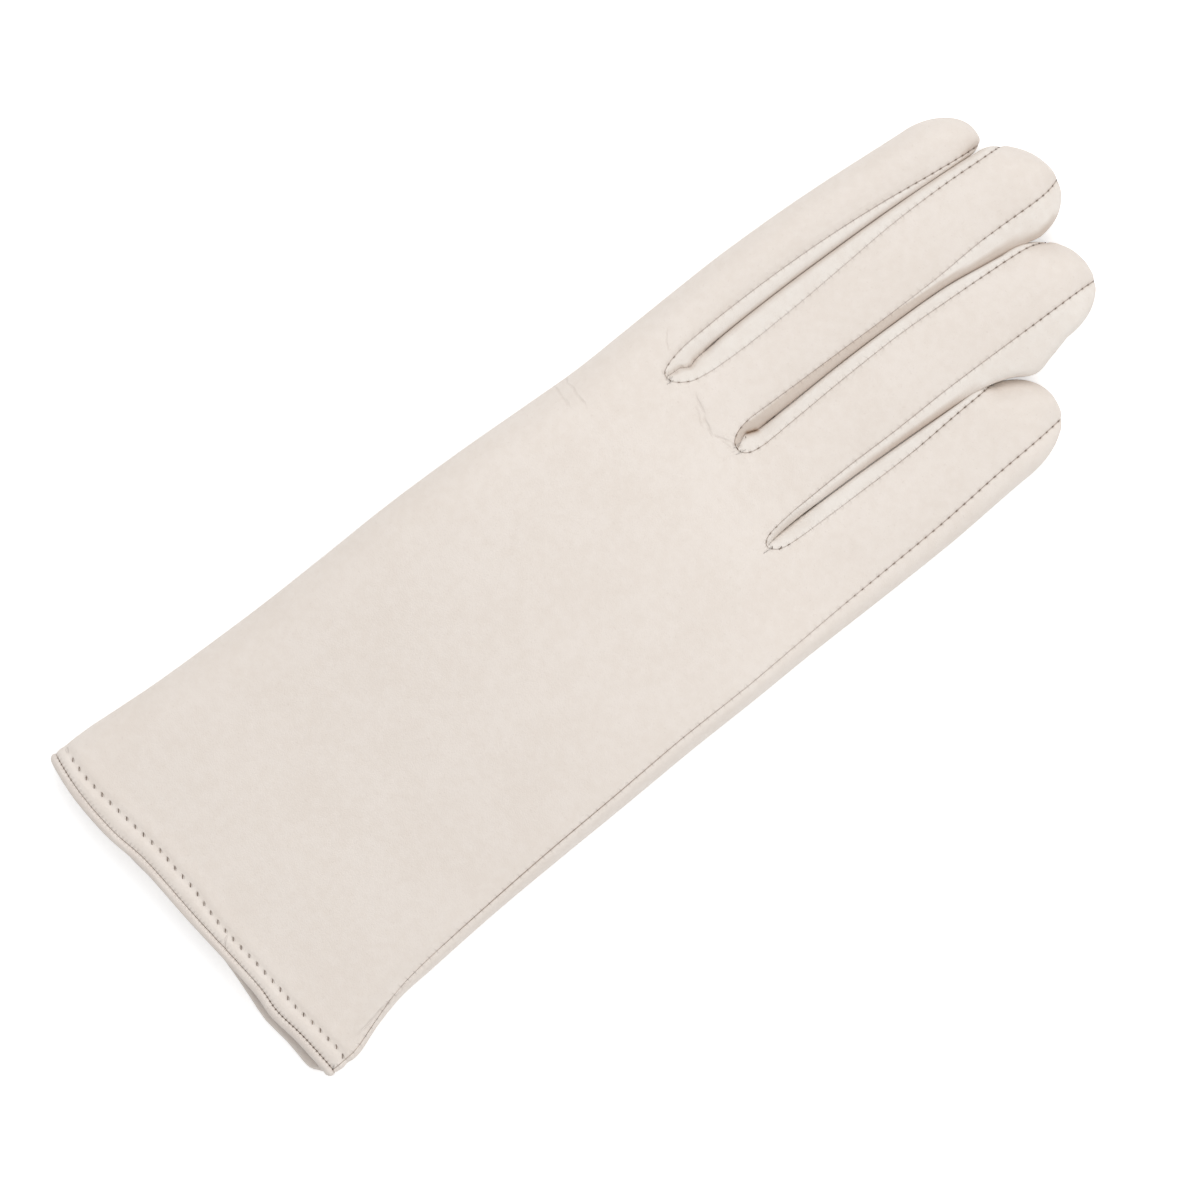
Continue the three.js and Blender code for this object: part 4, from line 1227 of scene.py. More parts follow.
@dataclass(frozen=True)
class PaintedFoldShade:
    """Painted shade along the gap between two fingers, where the leather folds in and shade falls.

    depths holds stations and the depth of the painted shade there. Each side of the middle it is full
    as far as core and ends at reach, both times tip_width towards the fingertips. creases add painted
    shade along lines of their own.
    """

    gap: Gap
    depths: tuple[tuple[float, float], ...]
    core: float
    reach: float
    tip_width: float = 1.0
    creases: tuple[Ridge, ...] = ()
    tips_from: float = 208.0
    tips_to: float = 232.0
    lowest: float = 4.0

    def shade(self, points: Array) -> Array:
        """How deep the painted shade is at each point, from 0 to 1."""
        along = points[:, 1]
        width = lerp(1, self.tip_width, smooth(along, self.tips_from, self.tips_to))
        away = np.abs(points[:, 0] - self.gap.middle(along)) / width
        shade = np.interp(along, *np.array(self.depths).T) * (1 - smooth(away, self.core, self.reach))
        shade *= points[:, 2] > self.lowest
        for crease in self.creases:
            shade = np.maximum(shade, crease.height(points))
        return shade


@dataclass
class BackRelief:
    """Soft forms of the back: where it swells, sinks and creases."""

    forms: tuple[Swell | Ridge, ...] = (
        Ridge(((47.0, 6), (45.6, 14), (43.2, 24), (41.4, 34), (40.2, 46), (39.2, 62)), 1.3, 0.55, 18),
        Ridge(((44.0, 8), (42.5, 18), (40.2, 30), (38.6, 46)), 2.2, -0.30, 14),
        Ridge(((9.6, 9.2), (10.4, 6.6), (11.4, 4.6)), 0.45, -0.30, 1.5),
        Ridge(((-22.6, 173.4), (-18, 171.8), (-13.4, 170.0), (-10, 171.6), (-7.6, 173.0)), 0.7, -0.22, 4),
        Ridge(((-20.4, 171.2), (-15, 169.4), (-11, 168.2)), 0.7, -0.14, 4),
        Ridge(((-33.4, 174), (-36, 176.5), (-38.6, 178)), 0.8, -0.12, 2),
        Ridge(((-46, 151.5), (-40, 152.3), (-34, 151.2)), 0.8, -0.12, 5),
        Ridge(((-46, 148.4), (-41, 149.0), (-37, 148.2)), 0.8, -0.10, 4),
        Swell(28.5, 186, 7, 14, 0.35),
        Swell(-16, 195, 6, 30, 0.15),
        Swell(5.5, 200, 6, 26, 0.15),
        Swell(-5, 60, 26, 26, -0.35),
        Swell(20, 95, 16, 30, 0.30),
        Swell(-30, 120, 12, 22, 0.25),
        Swell(14, 28, 14, 12, 0.22),
        Swell(-24, 26, 13, 12, 0.20),
    )
    pull: float = 0.16
    pull_width: float = 0.8
    puff_below: float = 0.22
    puff_above: float = 0.12

    def height(self, points: Array) -> Array:
        """Height of all forms together, on the back only."""
        total = sum(form.height(points) for form in self.forms)
        offset, _ = Topstitching.measures(points)
        row = -self.pull * np.exp(-((offset / self.pull_width) ** 2))
        below = self.puff_below * smooth(-offset, 0.4, 1.4) * (1 - smooth(-offset, 2.2, 4.2))
        above = self.puff_above * smooth(offset, 0.4, 1.6) * (1 - smooth(offset, 2.0, 5.0))
        return (total + row + below + above) * smooth(points[:, 2], 4, 8)


class Topstitching:
    """The row of stitches above the cuff's edge."""

    pitch = 2.7
    first_across = -48.6
    last_across = 48.3
    reach = 6.0  # distance at which a point knows nothing more of the row
    line = TOPSTITCH.curve("along", "across")
    samples = np.linspace(-50, 50, 401)

    @classmethod
    def measures(cls, points: Array) -> tuple[Array, Array]:
        """Distance up from the row, and place along it in stitches, for each point."""
        steps = np.hypot(np.diff(cls.samples), np.diff(cls.line(cls.samples)))
        run = np.concatenate([[0], np.cumsum(steps)])
        offset = np.clip(points[:, 1] - cls.line(points[:, 0]), -cls.reach, cls.reach)
        return offset, np.interp(points[:, 0], cls.samples, run) / cls.pitch


@dataclass
class Patches:
    """The cells of one piece, as rows of four corners, for the outside and the inside."""

    outside: list[Array] = field(default_factory=list)
    inside: list[Array] = field(default_factory=list)


class Skin:
    """Patches of leather that share their points, and so their normals, along every seam."""

    steps_per_mm = 1e3
    off_grid = 0.1234567  # keeps round measures off the edge between two steps

    def __init__(self) -> None:
        """Starts with no patches."""
        self.points: list[Array] = []
        self.tags: list[Array] = []
        self.patches: list[tuple[str, Array, Array, Array]] = []
        self.count = 0

    def add(
        self, piece: str, grid: Array, keep_rows: Array, keep_columns: Array, sewn: Array | None = None
    ) -> None:
        """Adds a patch whose columns run clockwise seen from the cuff and rows towards the tips.

        Args:
            piece: Name of the piece that it belongs to.
            grid: Points, rows by columns by three.
            keep_rows: Which rows the inside keeps.
            keep_columns: Which columns the inside keeps.
            sewn: Marks points that are sewn to their neighbours in the same piece, not joined.
        """
        rows, columns, _ = grid.shape
        numbers = self.count + np.arange(rows * columns).reshape(rows, columns)
        self.points.append(grid.reshape(-1, 3))
        self.tags.append(np.zeros(rows * columns, int) if sewn is None else sewn.astype(int).ravel())
        self.patches.append((piece, numbers, keep_rows, keep_columns))
        self.count += rows * columns

    def close(self) -> None:
        """Joins points that lie at one place and works out the normals they share."""
        points = np.concatenate(self.points)
        tags = np.concatenate(self.tags)
        place = np.round(points * self.steps_per_mm + self.off_grid).astype(np.int64)
        _, first, where = np.unique(place, axis=0, return_index=True, return_inverse=True)
        where = where.ravel()
        _, index, self.corner = np.unique(where * 2 + tags, return_index=True, return_inverse=True)
        self.place = where[index]
        self.point = points[first][self.place]
        self.pieces: dict[str, Patches] = {}
        for piece, numbers, keep_rows, keep_columns in self.patches:
            made = self.pieces.setdefault(piece, Patches())
            corners = self.corner[numbers]
            made.outside.append(self.quads(corners))
            made.inside.append(self.quads(corners[keep_rows][:, keep_columns]))
        everything = np.concatenate([q for p in self.pieces.values() for q in p.outside])
        self.normal = self.normals(self.place[everything], points[first])[self.place]

    @staticmethod
    def quads(corners: Array) -> Array:
        """Four corners of each cell of a grid."""
        cells = np.stack([corners[:-1, :-1], corners[:-1, 1:], corners[1:, 1:], corners[1:, :-1]], -1)
        return cells.reshape(-1, 4)

    @staticmethod
    def faces(quads: Array) -> list[list[int]]:
        """Faces of a piece, with cells that close to a triangle or to nothing cleaned up."""
        closed = (quads == np.roll(quads, -1, axis=1)).any(axis=1)
        found = quads[~closed].tolist()
        for cell in quads[closed].tolist():
            face = [corner for i, corner in enumerate(cell) if corner != cell[i - 1]]
            if len(set(face)) == 3 and len(face) == 3:
                found.append(face)
        return found

    @classmethod
    def normals(cls, quads: Array, points: Array) -> Array:
        """Vertex normals of a mesh, each face counted by its angle."""
        mesh = bpy.data.meshes.new("measure")
        mesh.from_pydata(points.tolist(), [], cls.faces(quads))
        found = np.zeros(len(points) * 3, np.float32)
        mesh.vertex_normals.foreach_get("vector", found)
        bpy.data.meshes.remove(mesh)
        return found.reshape(-1, 3).astype(float)


@dataclass
class Sewn:
    """A finished piece: its points, faces, sharp edges and what its leather knows of its seams."""

    points: Array
    faces: list[list[int]]
    sharp: set[tuple[int, int]]
    marks: dict[str, Array]

    def as_object(self, name: str) -> bpy.types.Object:
        """The piece as a Blender object, with its seam measures as attributes."""
        made = mesh_object(name, self.points, self.faces)
        mesh = made.data
        edges = np.zeros(len(mesh.edges) * 2, np.int32)
        mesh.edges.foreach_get("vertices", edges)
        sharp = [tuple(sorted(pair)) in self.sharp for pair in edges.reshape(-1, 2).tolist()]
        mesh.attributes.new("sharp_edge", "BOOLEAN", "EDGE").data.foreach_set("value", sharp)
        for title, values in self.marks.items():
            mesh.attributes.new(title, "FLOAT", "POINT").data.foreach_set("value", values.astype(np.float32))
        return made


def to_metres(points: Array) -> Array:
    """Points in the frame's metres."""
    return (points - [0, CENTRE_ALONG, 0]) * MM


def mesh_object(name: str, points: Array, faces: Sequence[Sequence[int]]) -> bpy.types.Object:
    """A smooth-shaded object from points in millimetres.

    Args:
        name: The object's name.
        points: Its points.
        faces: Corner numbers of each face.

    Returns:
        The object, in the scene's own collection.
    """
    mesh = bpy.data.meshes.new(name)
    mesh.from_pydata(to_metres(np.asarray(points)).tolist(), [], faces)
    mesh.shade_smooth()
    made = bpy.data.objects.new(name, mesh)
    bpy.context.scene.collection.objects.link(made)
    return made


class Sewing:
    """Turns the pieces of a skin into closed walls of leather with rolled seam edges."""

    gentle_fold = 0.75
    least_straight = 0.7
    sharpest_corner = 0.15
    roll_width = 0.95
    puff = 0.10
    puff_away = 1.7
    puff_width = 0.9
    lowest_inside = 0.3
    back_from = 5.0  # height above which leather can lie under the topstitch row
    longest_walk = 4000

    def __init__(self, skin: Skin, finder: SeamFinder, relief: BackRelief) -> None:
        """Keeps what every piece needs."""
        self.skin, self.finder, self.relief = skin, finder, relief

    def lift(self, points: Array, away: Array, sunk: Array, with_relief: bool) -> Array:
        """How far the leather's outside stands off its plain shape.

        Args:
            points: Points of the outside.
            away: Their distance from the nearest seam.
            sunk: The depth of that seam.
            with_relief: Whether the soft forms of the back are added.

        Returns:
            Heights along the normals.
        """
        share = clamped(1 - away / self.roll_width)
        height = -sunk * (1 - np.sqrt(1 - share * share))
        height += self.puff * (sunk > 0) * np.exp(-(((away - self.puff_away) / self.puff_width) ** 2))
        return height + self.relief.height(points) if with_relief else height

    @staticmethod
    def open_edges(faces: list[list[int]]) -> dict[int, int]:
        """The open edges of some faces, as the corner that follows each corner."""
        pairs = {(a, b) for face in faces for a, b in zip(face, face[1:] + face[:1])}
        return {a: b for a, b in pairs if (b, a) not in pairs}

    def drawn_in(self, points: Array, facing: Array, normal: Array, rim: dict[int, int]) -> Array:
        """Points whose sewn edges are drawn in by half the opening of a seam.

        Args:
            points: The piece's points.
            facing: Its own normals.
            normal: The normals that it shares with its neighbours.
            rim: Its open edges.

        Returns:
            The moved points.
        """
        into = np.zeros_like(points)
        first = np.zeros_like(points)
        for a, b in rim.items():
            edge = points[b] - points[a]
            for corner in (a, b):
                gentle = facing[corner] @ normal[corner] > self.gentle_fold
                step = np.cross(facing[corner] if gentle else normal[corner], edge)
                step /= max(float(np.linalg.norm(step)), TINY)
                if not first[corner].any():
                    first[corner] = step
                into[corner] += step
        length = np.linalg.norm(into, axis=1)
        on_rim = length > TINY
        into[on_rim] /= length[on_rim, None]
        square = np.maximum((into * first).sum(1), self.sharpest_corner)
        return points + into * np.where(on_rim, SIZES.seam_opening / 2 / square, 0)[:, None]

    def sew(self, name: str, with_relief: bool = False, fold: PaintedFoldShade | None = None) -> Sewn:
        """Makes one piece.

        Args:
            name: The piece.
            with_relief: Whether the soft forms of the back shape it.
            fold: The painted shade along the gap that a fourchette lines.

        Returns:
            The finished piece.
        """
        patches = self.skin.pieces[name]
        outside = np.concatenate(patches.outside)
        inside = np.concatenate(patches.inside)
        corners = np.unique(outside)
        number = np.full(len(self.skin.point), -1)
        number[corners] = np.arange(len(corners))
        points, normal = self.skin.point[corners], self.skin.normal[corners]
        facing = Skin.normals(number[outside], points)
        faces = Skin.faces(number[outside])
        rim = self.open_edges(faces)
        inner_faces = Skin.faces(number[inside])
        inner_rim = self.open_edges(inner_faces)
        sunk, marks = self.finder.nearest(points)
        base = self.drawn_in(points, facing, normal, rim)
        raised = base + normal * self.lift(base, marks["seam_away"], sunk, with_relief)[:, None]
        raised[:, 2] = np.maximum(raised[:, 2], 0)
        straight = np.maximum((facing * normal).sum(1), self.least_straight)
        lined = base - normal * (SIZES.leather / straight)[:, None]
        lined[:, 2] = np.maximum(lined[:, 2], self.lowest_inside)

        kept = np.unique(number[inside])
        inner = np.full(len(corners), -1)
        inner[kept] = len(corners) + np.arange(len(kept))
        faces += [[int(inner[corner]) for corner in face[::-1]] for face in inner_faces]
        sharp = set()
        for a, b in inner_rim.items():
            walk = a
            for _ in range(self.longest_walk):
                if walk == b or walk not in rim:
                    break
                after = rim[walk]
                faces.append([after, walk, int(inner[a])])
                sharp.add((min(walk, after), max(walk, after)))
                walk = after
            faces.append([b, int(inner[a]), int(inner[b])])
        offset, row = Topstitching.measures(raised)
        offset = np.where(raised[:, 2] > self.back_from, offset, Topstitching.reach)
        spread = np.concatenate([np.arange(len(corners)), kept])
        marks |= {"row_offset": offset, "row_stitch": row}
        marks["fold_shade"] = fold.shade(raised) if fold else np.zeros(len(raised))
        marks = {title: values[spread] for title, values in marks.items()}
        return Sewn(np.concatenate([raised, lined[kept]]), faces, sharp, marks)


class Thread(Enum):
    """The threads of the glove: length of a stitch, half its thickness and how far its ends dip."""

    SEAM = (0.44, 0.105, 0.1)
    TOP = (1.3, 0.14, 0.09)
    TICK = (0.7, 0.07, 0.15)
    TACK = (1.5, 0.1, 0.0)

    @property
    def length(self) -> float:
        """Length of a stitch."""
        return self.value[0]

    @property
    def radius(self) -> float:
        """Half the thread's thickness."""
        return self.value[1]

    @property
    def dip(self) -> float:
        """How far its ends go down into the leather."""
        return self.value[2]


class StitchLayer:
    """Many small stitches as one mesh."""

    stations = np.array([-0.5, -0.42, -0.26, 0.0, 0.26, 0.42, 0.5])
    girths = np.array([0.35, 0.8, 1.0, 1.0, 1.0, 0.8, 0.35])
    sides = 6
    length_spread = (0.88, 1.12)
    radius_spread = (0.9, 1.1)

    def __init__(self, seed: int) -> None:
        """Starts with no stitches."""
        self.points: list[Array] = []
        self.faces: list[list[int]] = []
        self.random = np.random.default_rng(seed)

    def lay(self, centre: Array, along: Array, normal: Array, thread: Thread) -> None:
        """Lays one stitch, bent so that both ends dip into the leather.

        Args:
            centre: Its middle.
            along: Its direction.
            normal: The leather's normal there.
            thread: The kind of thread.
        """
        length = thread.length * self.random.uniform(*self.length_spread)
        radius = thread.radius * self.random.uniform(*self.radius_spread)
        side = np.cross(normal, along)
        side /= max(float(np.linalg.norm(side)), TINY)
        dip = thread.dip * (2 * self.stations) ** 2
        middle = centre + np.outer(self.stations * length, along) - np.outer(dip, normal)
        self.tube(middle, side, normal, radius * self.girths)

    def tube(self, middle: Array, side: Array, normal: Array, girths: Array) -> None:
        """Adds a closed tube.

        Args:
            middle: Points of its centre line.
            side: Sideways direction of its section.
            normal: Upward direction of its section.
            girths: Its radius at each point.
        """
        turn = np.linspace(0, 2 * math.pi, self.sides, endpoint=False)
        ring = np.outer(np.cos(turn), side) + np.outer(np.sin(turn), normal)
        points = middle[:, None, :] + ring[None, :, :] * girths[:, None, None]
        start = sum(len(group) for group in self.points)
        self.points.append(points.reshape(-1, 3))
        rows, sides = len(middle), self.sides
        for i in range(rows - 1):
            for j in range(sides):
                k = (j + 1) % sides
                a, b = start + i * sides, start + (i + 1) * sides
                self.faces.append([a + j, a + k, b + k, b + j])
        self.faces.append([start + j for j in reversed(range(sides))])
        self.faces.append([start + (rows - 1) * sides + j for j in range(sides)])

    def as_object(self, name: str) -> bpy.types.Object:
        """All the stitches as one object."""
        return mesh_object(name, np.concatenate(self.points), self.faces)


class Shader:
    """A small helper that lays out the nodes of a material or of a node group."""

    def __init__(self, tree: bpy.types.NodeTree) -> None:
        """Keeps the tree."""
        self.tree = tree

    def add(self, kind: str, **settings: object) -> bpy.types.Node:
        """Adds a node; settings are its own properties."""
        node = self.tree.nodes.new(kind)
        for key, value in settings.items():
            setattr(node, key, value)
        return node

    def feed(self, socket: Socket, value: object) -> None:
        """Links an output to a socket, or sets the socket's own value."""
        if isinstance(value, Socket):
            self.tree.links.new(value, socket)
        else:
            socket.default_value = value

    def fill(self, node: bpy.types.Node, values: dict[str, object]) -> bpy.types.Node:
        """Feeds a node's inputs by their names, and gives the node back."""
        for title, value in values.items():
            self.feed(node.inputs[title], value)
        return node

    def place(self) -> Socket:
        """Where on the object a point lies."""
        return self.add("ShaderNodeTexCoord").outputs["Object"]

    def math(self, operation: str, *values: object) -> Socket:
        """A sum, product or the like of up to three values."""
        node = self.add("ShaderNodeMath", operation=operation)
        for socket, value in zip(node.inputs, values):
            self.feed(socket, value)
        return node.outputs[0]

    def times(self, first: object, second: object) -> Socket:
        """A product of two values."""
        return self.math("MULTIPLY", first, second)

    def ramp(self, value: object, low: float, high: float, start: float = 0.0, end: float = 1.0) -> Socket:
        """A smooth step of value from start at low to end at high.

        Args:
            value: What is mapped.
            low: Value that gives start.
            high: Value that gives end.
            start: Result at low.
            end: Result at high.

        Returns:
            The mapped value.
        """
        node = self.add("ShaderNodeMapRange", interpolation_type="SMOOTHSTEP")
        given = {"Value": value, "From Min": low, "From Max": high, "To Min": start, "To Max": end}
        return self.fill(node, given).outputs["Result"]

    def noise(
        self, scale: float, detail: float, rough: float = 0.5, stretch: Sequence[float] = (1.0, 1.0, 1.0)
    ) -> Socket:
        """A noise over the object.

        Args:
            scale: Patterns per metre.
            detail: Number of finer layers.
            rough: How strong the finer layers are.
            stretch: Scale of each direction.

        Returns:
            The noise, about 0.5 in the middle.
        """
        mapping = self.fill(self.add("ShaderNodeMapping"), {"Vector": self.place(), "Scale": stretch})
        given = {"Vector": mapping.outputs["Vector"], "Scale": scale, "Detail": detail, "Roughness": rough}
        return self.fill(self.add("ShaderNodeTexNoise"), given).outputs["Fac"]

    def cells(self, scale: float) -> Socket:
        """Distance to the edges of small irregular cells, scale being cells per metre."""
        node = self.add("ShaderNodeTexVoronoi", feature="DISTANCE_TO_EDGE")
        return self.fill(node, {"Vector": self.place(), "Scale": scale}).outputs["Distance"]

    def mark(self, name: str) -> Socket:
        """A measure kept on the leather's points."""
        return self.add("ShaderNodeAttribute", attribute_name=name).outputs["Fac"]

    def mix(self, share: object, first: object, second: object) -> Socket:
        """A blend of two colours."""
        node = self.add("ShaderNodeMix", data_type="RGBA")
        self.feed(node.inputs[0], share)
        self.feed(node.inputs[6], first)
        self.feed(node.inputs[7], second)
        return node.outputs[2]

    def bump(self, height: object, distance: float) -> Socket:
        """A normal that shows a height, distance being metres for each unit of it."""
        node = self.fill(self.add("ShaderNodeBump"), {"Distance": distance, "Height": height})
        return node.outputs["Normal"]


def new_finish(name: str) -> tuple[bpy.types.Material, Shader, bpy.types.Node]:
    """A new material, the helper that lays out its nodes, and its main shader."""
    made = bpy.data.materials.new(name)
    made.use_nodes = True
    return made, Shader(made.node_tree), made.node_tree.nodes["Principled BSDF"]


Wiring = Callable[[Shader, Sockets], Sockets]


def build_group(
    name: str, inputs: dict[str, float], outputs: Sequence[str], wire: Wiring
) -> bpy.types.NodeTree:
    """Makes a shader node group with plain number sockets.

    Args:
        name: The group's name.
        inputs: Its inputs with their usual values.
        outputs: Its outputs.
        wire: Lays out the nodes; it gets the helper and the inputs and gives back the outputs.

    Returns:
        The group.
    """
    tree = bpy.data.node_groups.new(name, "ShaderNodeTree")
    for title, value in inputs.items():
        socket = tree.interface.new_socket(title, in_out="INPUT", socket_type="NodeSocketFloat")
        socket.default_value = value
    for title in outputs:
        tree.interface.new_socket(title, in_out="OUTPUT", socket_type="NodeSocketFloat")
    shader = Shader(tree)
    given = shader.add("NodeGroupInput")
    made = wire(shader, {title: given.outputs[title] for title in inputs})
    shader.fill(shader.add("NodeGroupOutput"), made)
    return tree


class LeatherEffects:
    """The effects that every leather of the glove shares."""

    def __init__(self) -> None:
        """Builds the node groups."""
        shown = ("Height", "Mottle", "Pores")
        self.grain = build_group("nappa_grain", {"Depth": 0.02}, shown, self.wire_grain)
        self.seam = build_group("sewn_edge", {"Depth": 0.12}, ("Groove", "Hole", "Height"), self.wire_seam)
        places = {"From Across": 0.0, "From Along": 0.0, "To Across": 0.01, "To Along": 0.0}
        places |= {"Across": 0.0, "Along": 0.0, "Width": 0.4 * MM, "Depth": 0.1}
        self.crease = build_group("fine_crease", places, ("Line", "Height"), self.wire_crease)
        self.row = build_group("topstitch_dimples", {"Depth": 0.18}, ("Dimple", "Height"), self.wire_row)

    @staticmethod
    def wire_grain(shader: Shader, given: Sockets) -> Sockets:
        """Fine nappa grain: soft small cells, pores and a broad mottle."""
        fine = shader.times(shader.noise(2300, 3, 0.55), 0.5)
        small = shader.times(shader.noise(900, 2, 0.5), 0.8)
        cells = shader.times(shader.ramp(shader.cells(1500), 0.0, 0.22), 0.35)
        height = shader.math("ADD", shader.math("ADD", fine, small), cells)
        blotches = shader.times(shader.noise(420, 4, 0.6), 0.6)
        clouds = shader.times(shader.noise(60, 3, 0.5), 0.4)
        pores = shader.ramp(shader.noise(1700, 1, 0.4), 0.66, 0.78)
        return {
            "Height": shader.times(height, given["Depth"]),
            "Mottle": shader.math("ADD", blotches, clouds),
            "Pores": pores,
        }

    @staticmethod
    def wire_seam(shader: Shader, given: Sockets) -> Sockets:
        """Dirt and painted shade in a seam's groove; needle holes that pull the leather in, with painted
        shade.
        """
        away = shader.mark("seam_away")
        turn = shader.math("FRACT", shader.mark("seam_stitch"))
        beside = shader.math("ABSOLUTE", shader.math("SUBTRACT", turn, 0.5))
        at_stitch = shader.ramp(beside, 0.08, 0.2, 1.0, 0.0)
        pull = shader.times(at_stitch, shader.ramp(away, 0.2, 1.0, 1.0, 0.0))
        shows = shader.mark("seam_shows")
        strength = shader.math("MULTIPLY_ADD", shader.mark("seam_dark"), 0.85, 0.15)
        near = shader.ramp(away, 0.12, 0.4, 1.0, 0.0)
        return {
            "Groove": shader.times(shader.ramp(away, 0.05, 0.22, 1.0, 0.0), strength),
            "Hole": shader.times(shader.times(at_stitch, shows), near),
            "Height": shader.times(shader.times(pull, -1.0), given["Depth"]),
        }

    @staticmethod
    def wire_crease(shader: Shader, given: Sockets) -> Sockets:
        """A line between two places, which fades out at both ends; the line paints shade into a crease."""
        off, step = [], []
        for title in ("Across", "Along"):
            off.append(shader.math("SUBTRACT", given[title], given[f"From {title}"]))
            step.append(shader.math("SUBTRACT", given[f"To {title}"], given[f"From {title}"]))
        dot = [shader.times(a, b) for a, b in zip(off, step)]
        square = [shader.times(a, a) for a in step]
        share = shader.math("DIVIDE", shader.math("ADD", *dot), shader.math("ADD", *square))
        held = shader.math("MINIMUM", shader.math("MAXIMUM", share, 0.0), 1.0)
        beside = [shader.math("SUBTRACT", a, shader.times(held, b)) for a, b in zip(off, step)]
        square = [shader.times(a, a) for a in beside]
        away = shader.math("SQRT", shader.math("ADD", *square))
        line = shader.ramp(away, 0.0, given["Width"], 1.0, 0.0)
        for low, high, start, end in ((0.0, 0.25, 0.0, 1.0), (0.75, 1.0, 1.0, 0.0)):
            line = shader.times(line, shader.ramp(held, low, high, start, end))
        height = shader.times(shader.times(line, -1.0), given["Depth"])
        return {"Line": line, "Height": height}

    @staticmethod
    def wire_row(shader: Shader, given: Sockets) -> Sockets:
        """Dimples of the topstitch row, slanted as the stitches are, and a mask that paints shade into them.
        """
        offset = shader.mark("row_offset")
        turn = shader.math("FRACT", shader.mark("row_stitch"))
        run = shader.times(shader.math("SUBTRACT", turn, 0.5), Topstitching.pitch)
        run = shader.math("ADD", run, shader.times(offset, 0.7))
        wide = shader.math("POWER", shader.math("DIVIDE", run, 0.7), 2.0)
        high = shader.math("POWER", shader.math("DIVIDE", offset, 0.42), 2.0)
        dimple = shader.ramp(shader.math("ADD", wide, high), 0.1, 1.3, 1.0, 0.0)
        height = shader.times(shader.times(dimple, -1.0), given["Depth"])
        return {"Dimple": dimple, "Height": height}


@dataclass(frozen=True)
class Crease:
    """A fine crease in the leather's surface, from one place (across, along) to another."""

    start: tuple[float, float]
    end: tuple[float, float]
    width: float = 0.45
    depth: float = 0.10

    def sockets(self) -> dict[str, float]:
        """Its values for the crease group, places in the frame's metres."""
        return {
            "From Across": self.start[0] * MM,
            "From Along": (self.start[1] - CENTRE_ALONG) * MM,
            "To Across": self.end[0] * MM,
            "To Along": (self.end[1] - CENTRE_ALONG) * MM,
            "Width": self.width * MM,
            "Depth": self.depth,
        }


CREASES = (
    Crease((-22.8, 173.6), (-16.5, 171.4), 0.5, 0.11),
    Crease((-17.4, 171.6), (-11.0, 169.6), 0.5, 0.12),
    Crease((-12.6, 169.8), (-7.4, 173.2), 0.45, 0.12),
    Crease((-20.6, 171.6), (-14.0, 169.4), 0.4, 0.08),
    Crease((-10.4, 171.0), (-6.2, 171.8), 0.4, 0.08),
    Crease((-46.0, 151.6), (-34.5, 151.0), 0.5, 0.10),
    Crease((-46.0, 148.6), (-37.0, 148.0), 0.45, 0.08),
    Crease((-33.4, 173.8), (-38.4, 177.6), 0.45, 0.08),
    Crease((8.4, 8.4), (11.3, 4.4), 0.35, 0.16),
    Crease((43.6, 39.0), (46.6, 14.0), 0.5, 0.16),
)


